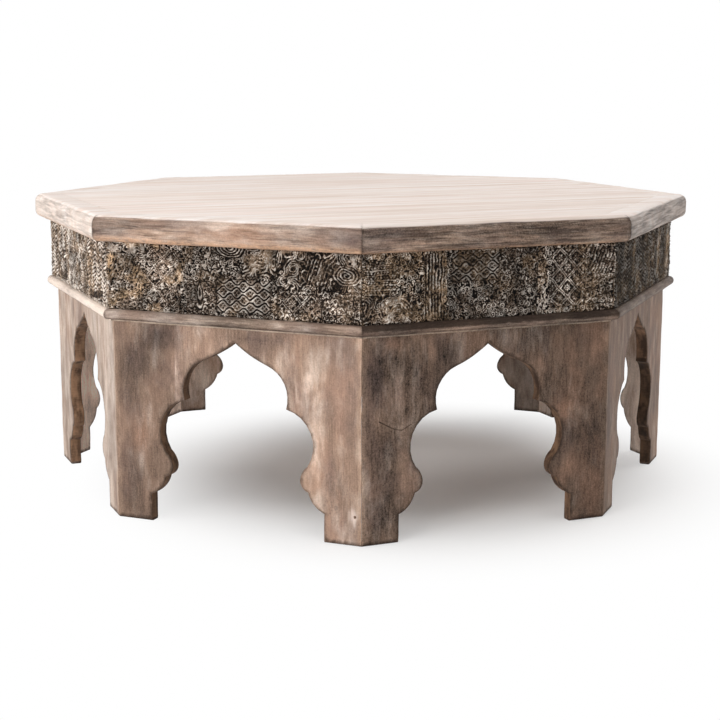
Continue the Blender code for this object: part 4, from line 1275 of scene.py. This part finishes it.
# Soft boxes: place and size in metres, power in watts. The front right side gets the least light
SOFT_BOXES = (
    ("soft_box_above", (-0.5, -0.7, 2.9), (2.6, 2.6), 48),
    ("soft_box_left", (-3.1, 0, 0.9), (1.6, 1.6), 26),
    ("soft_box_left_back", (-2.4, 2.0, 0.85), (1.6, 1.5), 30),
    ("soft_box_left_front", (-2.6, -1.8, 0.75), (1.6, 1.4), 44),
    ("soft_box_right", (3.1, 0.2, 0.85), (1.6, 1.6), 40),
    ("soft_box_right_back", (2.4, 2.0, 2.2), (2.4, 2.4), 37),
)
LAMP_AIM = Vector((0, 0, 0.25))
ROOM_LIGHT = 0.12
FLOOR_REACH = 9.0
FLOOR_DROP = 0.2 * MM
# The floor shows its real shadow up to the first distance from this point. Further out, painted light,
# white that the floor gives off for the camera, fades the shadow, and the floor is plain white past the
# second
SHADOW_MIDDLE = (0.05, -0.13, 0)
SHADOW_FULL, SHADOW_GONE = 0.19, 0.575
CAMERA_PLACE = (-0.98628, -2.35980, 0.65435)
CAMERA_TURN = (79.247, -0.095, -22.640)
CAMERA_LENS, CAMERA_SENSOR = 76.74, 36.0


def add_lamp(name, place, size, power):
    """A rectangular soft box at a place, turned to the table."""
    lamp = bpy.data.lights.new(name, "AREA")
    lamp.shape = "RECTANGLE"
    lamp.size, lamp.size_y = size
    lamp.energy = power
    box = bpy.data.objects.new(name, lamp)
    box.location = place
    box.visible_glossy = False
    box.rotation_mode = "QUATERNION"
    box.rotation_quaternion = (LAMP_AIM - Vector(place)).to_track_quat("-Z", "Y")
    bpy.context.scene.collection.objects.link(box)


def seen_in_picture(tree):
    """1 where the camera sees a surface, straight, mirrored or through glass, and 0 for other light."""
    path = add_node(tree, "LightPath", {}, None)
    seen = path["Is Camera Ray"]
    for ray in ("Is Glossy Ray", "Is Transmission Ray"):
        seen = add_node(tree, "Math", {0: seen, 1: path[ray]}, operation="MAXIMUM")
    return seen


def white_paper_matt():
    """Studio paper: dull, so that near the table it shows its real soft shadow. Further out, painted light,
    white that the paper gives off for the camera, fades that shadow and leaves the paper plain white away
    from it.
    """
    material, tree = new_material("white_paper_matt")
    place = add_node(tree, "TexCoord", {}, "Object")
    away = add_node(tree, "VectorMath", {0: place, 1: SHADOW_MIDDLE}, "Value", operation="DISTANCE")
    away = add_node(tree, "MapRange", {"Value": away, "From Min": SHADOW_FULL, "From Max": SHADOW_GONE},
                    **SMOOTH)
    away = add_node(tree, "Math", {0: away, 1: seen_in_picture(tree)}, operation="MULTIPLY")
    dull = add_node(tree, "BsdfDiffuse", {"Color": linear("F6F4F2")})
    white = add_node(tree, "Emission", {"Color": (1, 1, 1, 1), "Strength": 1.0})
    mixed = add_node(tree, "MixShader", {0: away, 1: dull, 2: white})
    add_node(tree, "OutputMaterial", {"Surface": mixed}, None)
    return material


class TABLE_OT_stage(bpy.types.Operator):
    """Builds the floor, the soft boxes, the white surroundings and the camera"""
    bl_idname = "carved_table.stage"
    bl_label = "Stage"

    def execute(self, context):
        scene = context.scene
        paper = bpy.data.meshes.new("studio_floor")
        corners = [(-1, -1), (1, -1), (1, 1), (-1, 1)]
        paper.from_pydata([(x * FLOOR_REACH, y * FLOOR_REACH, 0) for x, y in corners], [], [(0, 1, 2, 3)])
        paper.materials.append(white_paper_matt())
        floor = bpy.data.objects.new("studio_floor", paper)
        floor.location.z = -FLOOR_DROP
        scene.collection.objects.link(floor)

        for box in SOFT_BOXES:
            add_lamp(*box)

        world = bpy.data.worlds.new("white_room")
        world.use_nodes = True
        tree = world.node_tree
        tree.nodes.clear()
        seen = seen_in_picture(tree)
        level = add_node(tree, "MapRange", {"Value": seen, "To Min": ROOM_LIGHT, "To Max": 1.0})
        sky = add_node(tree, "Background", {"Color": (1, 1, 1, 1), "Strength": level})
        add_node(tree, "OutputWorld", {"Surface": sky}, None)
        scene.world = world

        camera = bpy.data.cameras.new("photo_camera")
        camera.lens = CAMERA_LENS
        camera.sensor_width = CAMERA_SENSOR
        viewer = bpy.data.objects.new("photo_camera", camera)
        viewer.location = CAMERA_PLACE
        viewer.rotation_euler = [math.radians(angle) for angle in CAMERA_TURN]
        scene.collection.objects.link(viewer)
        scene.camera = viewer
        scene.view_settings.view_transform = "Standard"
        return {"FINISHED"}


# Add-on

OPERATORS = (TABLE_OT_boards, TABLE_OT_lippings, TABLE_OT_battens, TABLE_OT_panels, TABLE_OT_beads,
             TABLE_OT_carving, TABLE_OT_stage)


class VIEW3D_PT_carved_table(bpy.types.Panel):
    """Lists the pieces of the table and what can be changed on them"""
    bl_idname = "VIEW3D_PT_carved_table"
    bl_label = "Carved table"
    bl_space_type = "VIEW_3D"
    bl_region_type = "UI"
    bl_category = "Carved table"

    def draw(self, context):
        for operator in OPERATORS:
            self.layout.operator(operator.bl_idname)
        for group in (context.scene.table_sizes, context.scene.table_colours):
            for name in group.__annotations__:
                self.layout.prop(group, name)


CLASSES = (TableSizes, TableColours, *OPERATORS, VIEW3D_PT_carved_table)


def register():
    """Adds the classes and the table's settings to Blender."""
    for item in CLASSES:
        bpy.utils.register_class(item)
    bpy.types.Scene.table_sizes = bpy.props.PointerProperty(type=TableSizes)
    bpy.types.Scene.table_colours = bpy.props.PointerProperty(type=TableColours)


def unregister():
    """Takes them out again."""
    del bpy.types.Scene.table_colours
    del bpy.types.Scene.table_sizes
    for item in reversed(CLASSES):
        bpy.utils.unregister_class(item)


def main():
    """Builds every piece and the stage."""
    register()
    bpy.ops.carved_table.boards()
    bpy.ops.carved_table.lippings()
    bpy.ops.carved_table.battens()
    bpy.ops.carved_table.panels()
    bpy.ops.carved_table.beads()
    bpy.ops.carved_table.carving()
    bpy.ops.carved_table.stage()


if __name__ == "__main__":
    main()
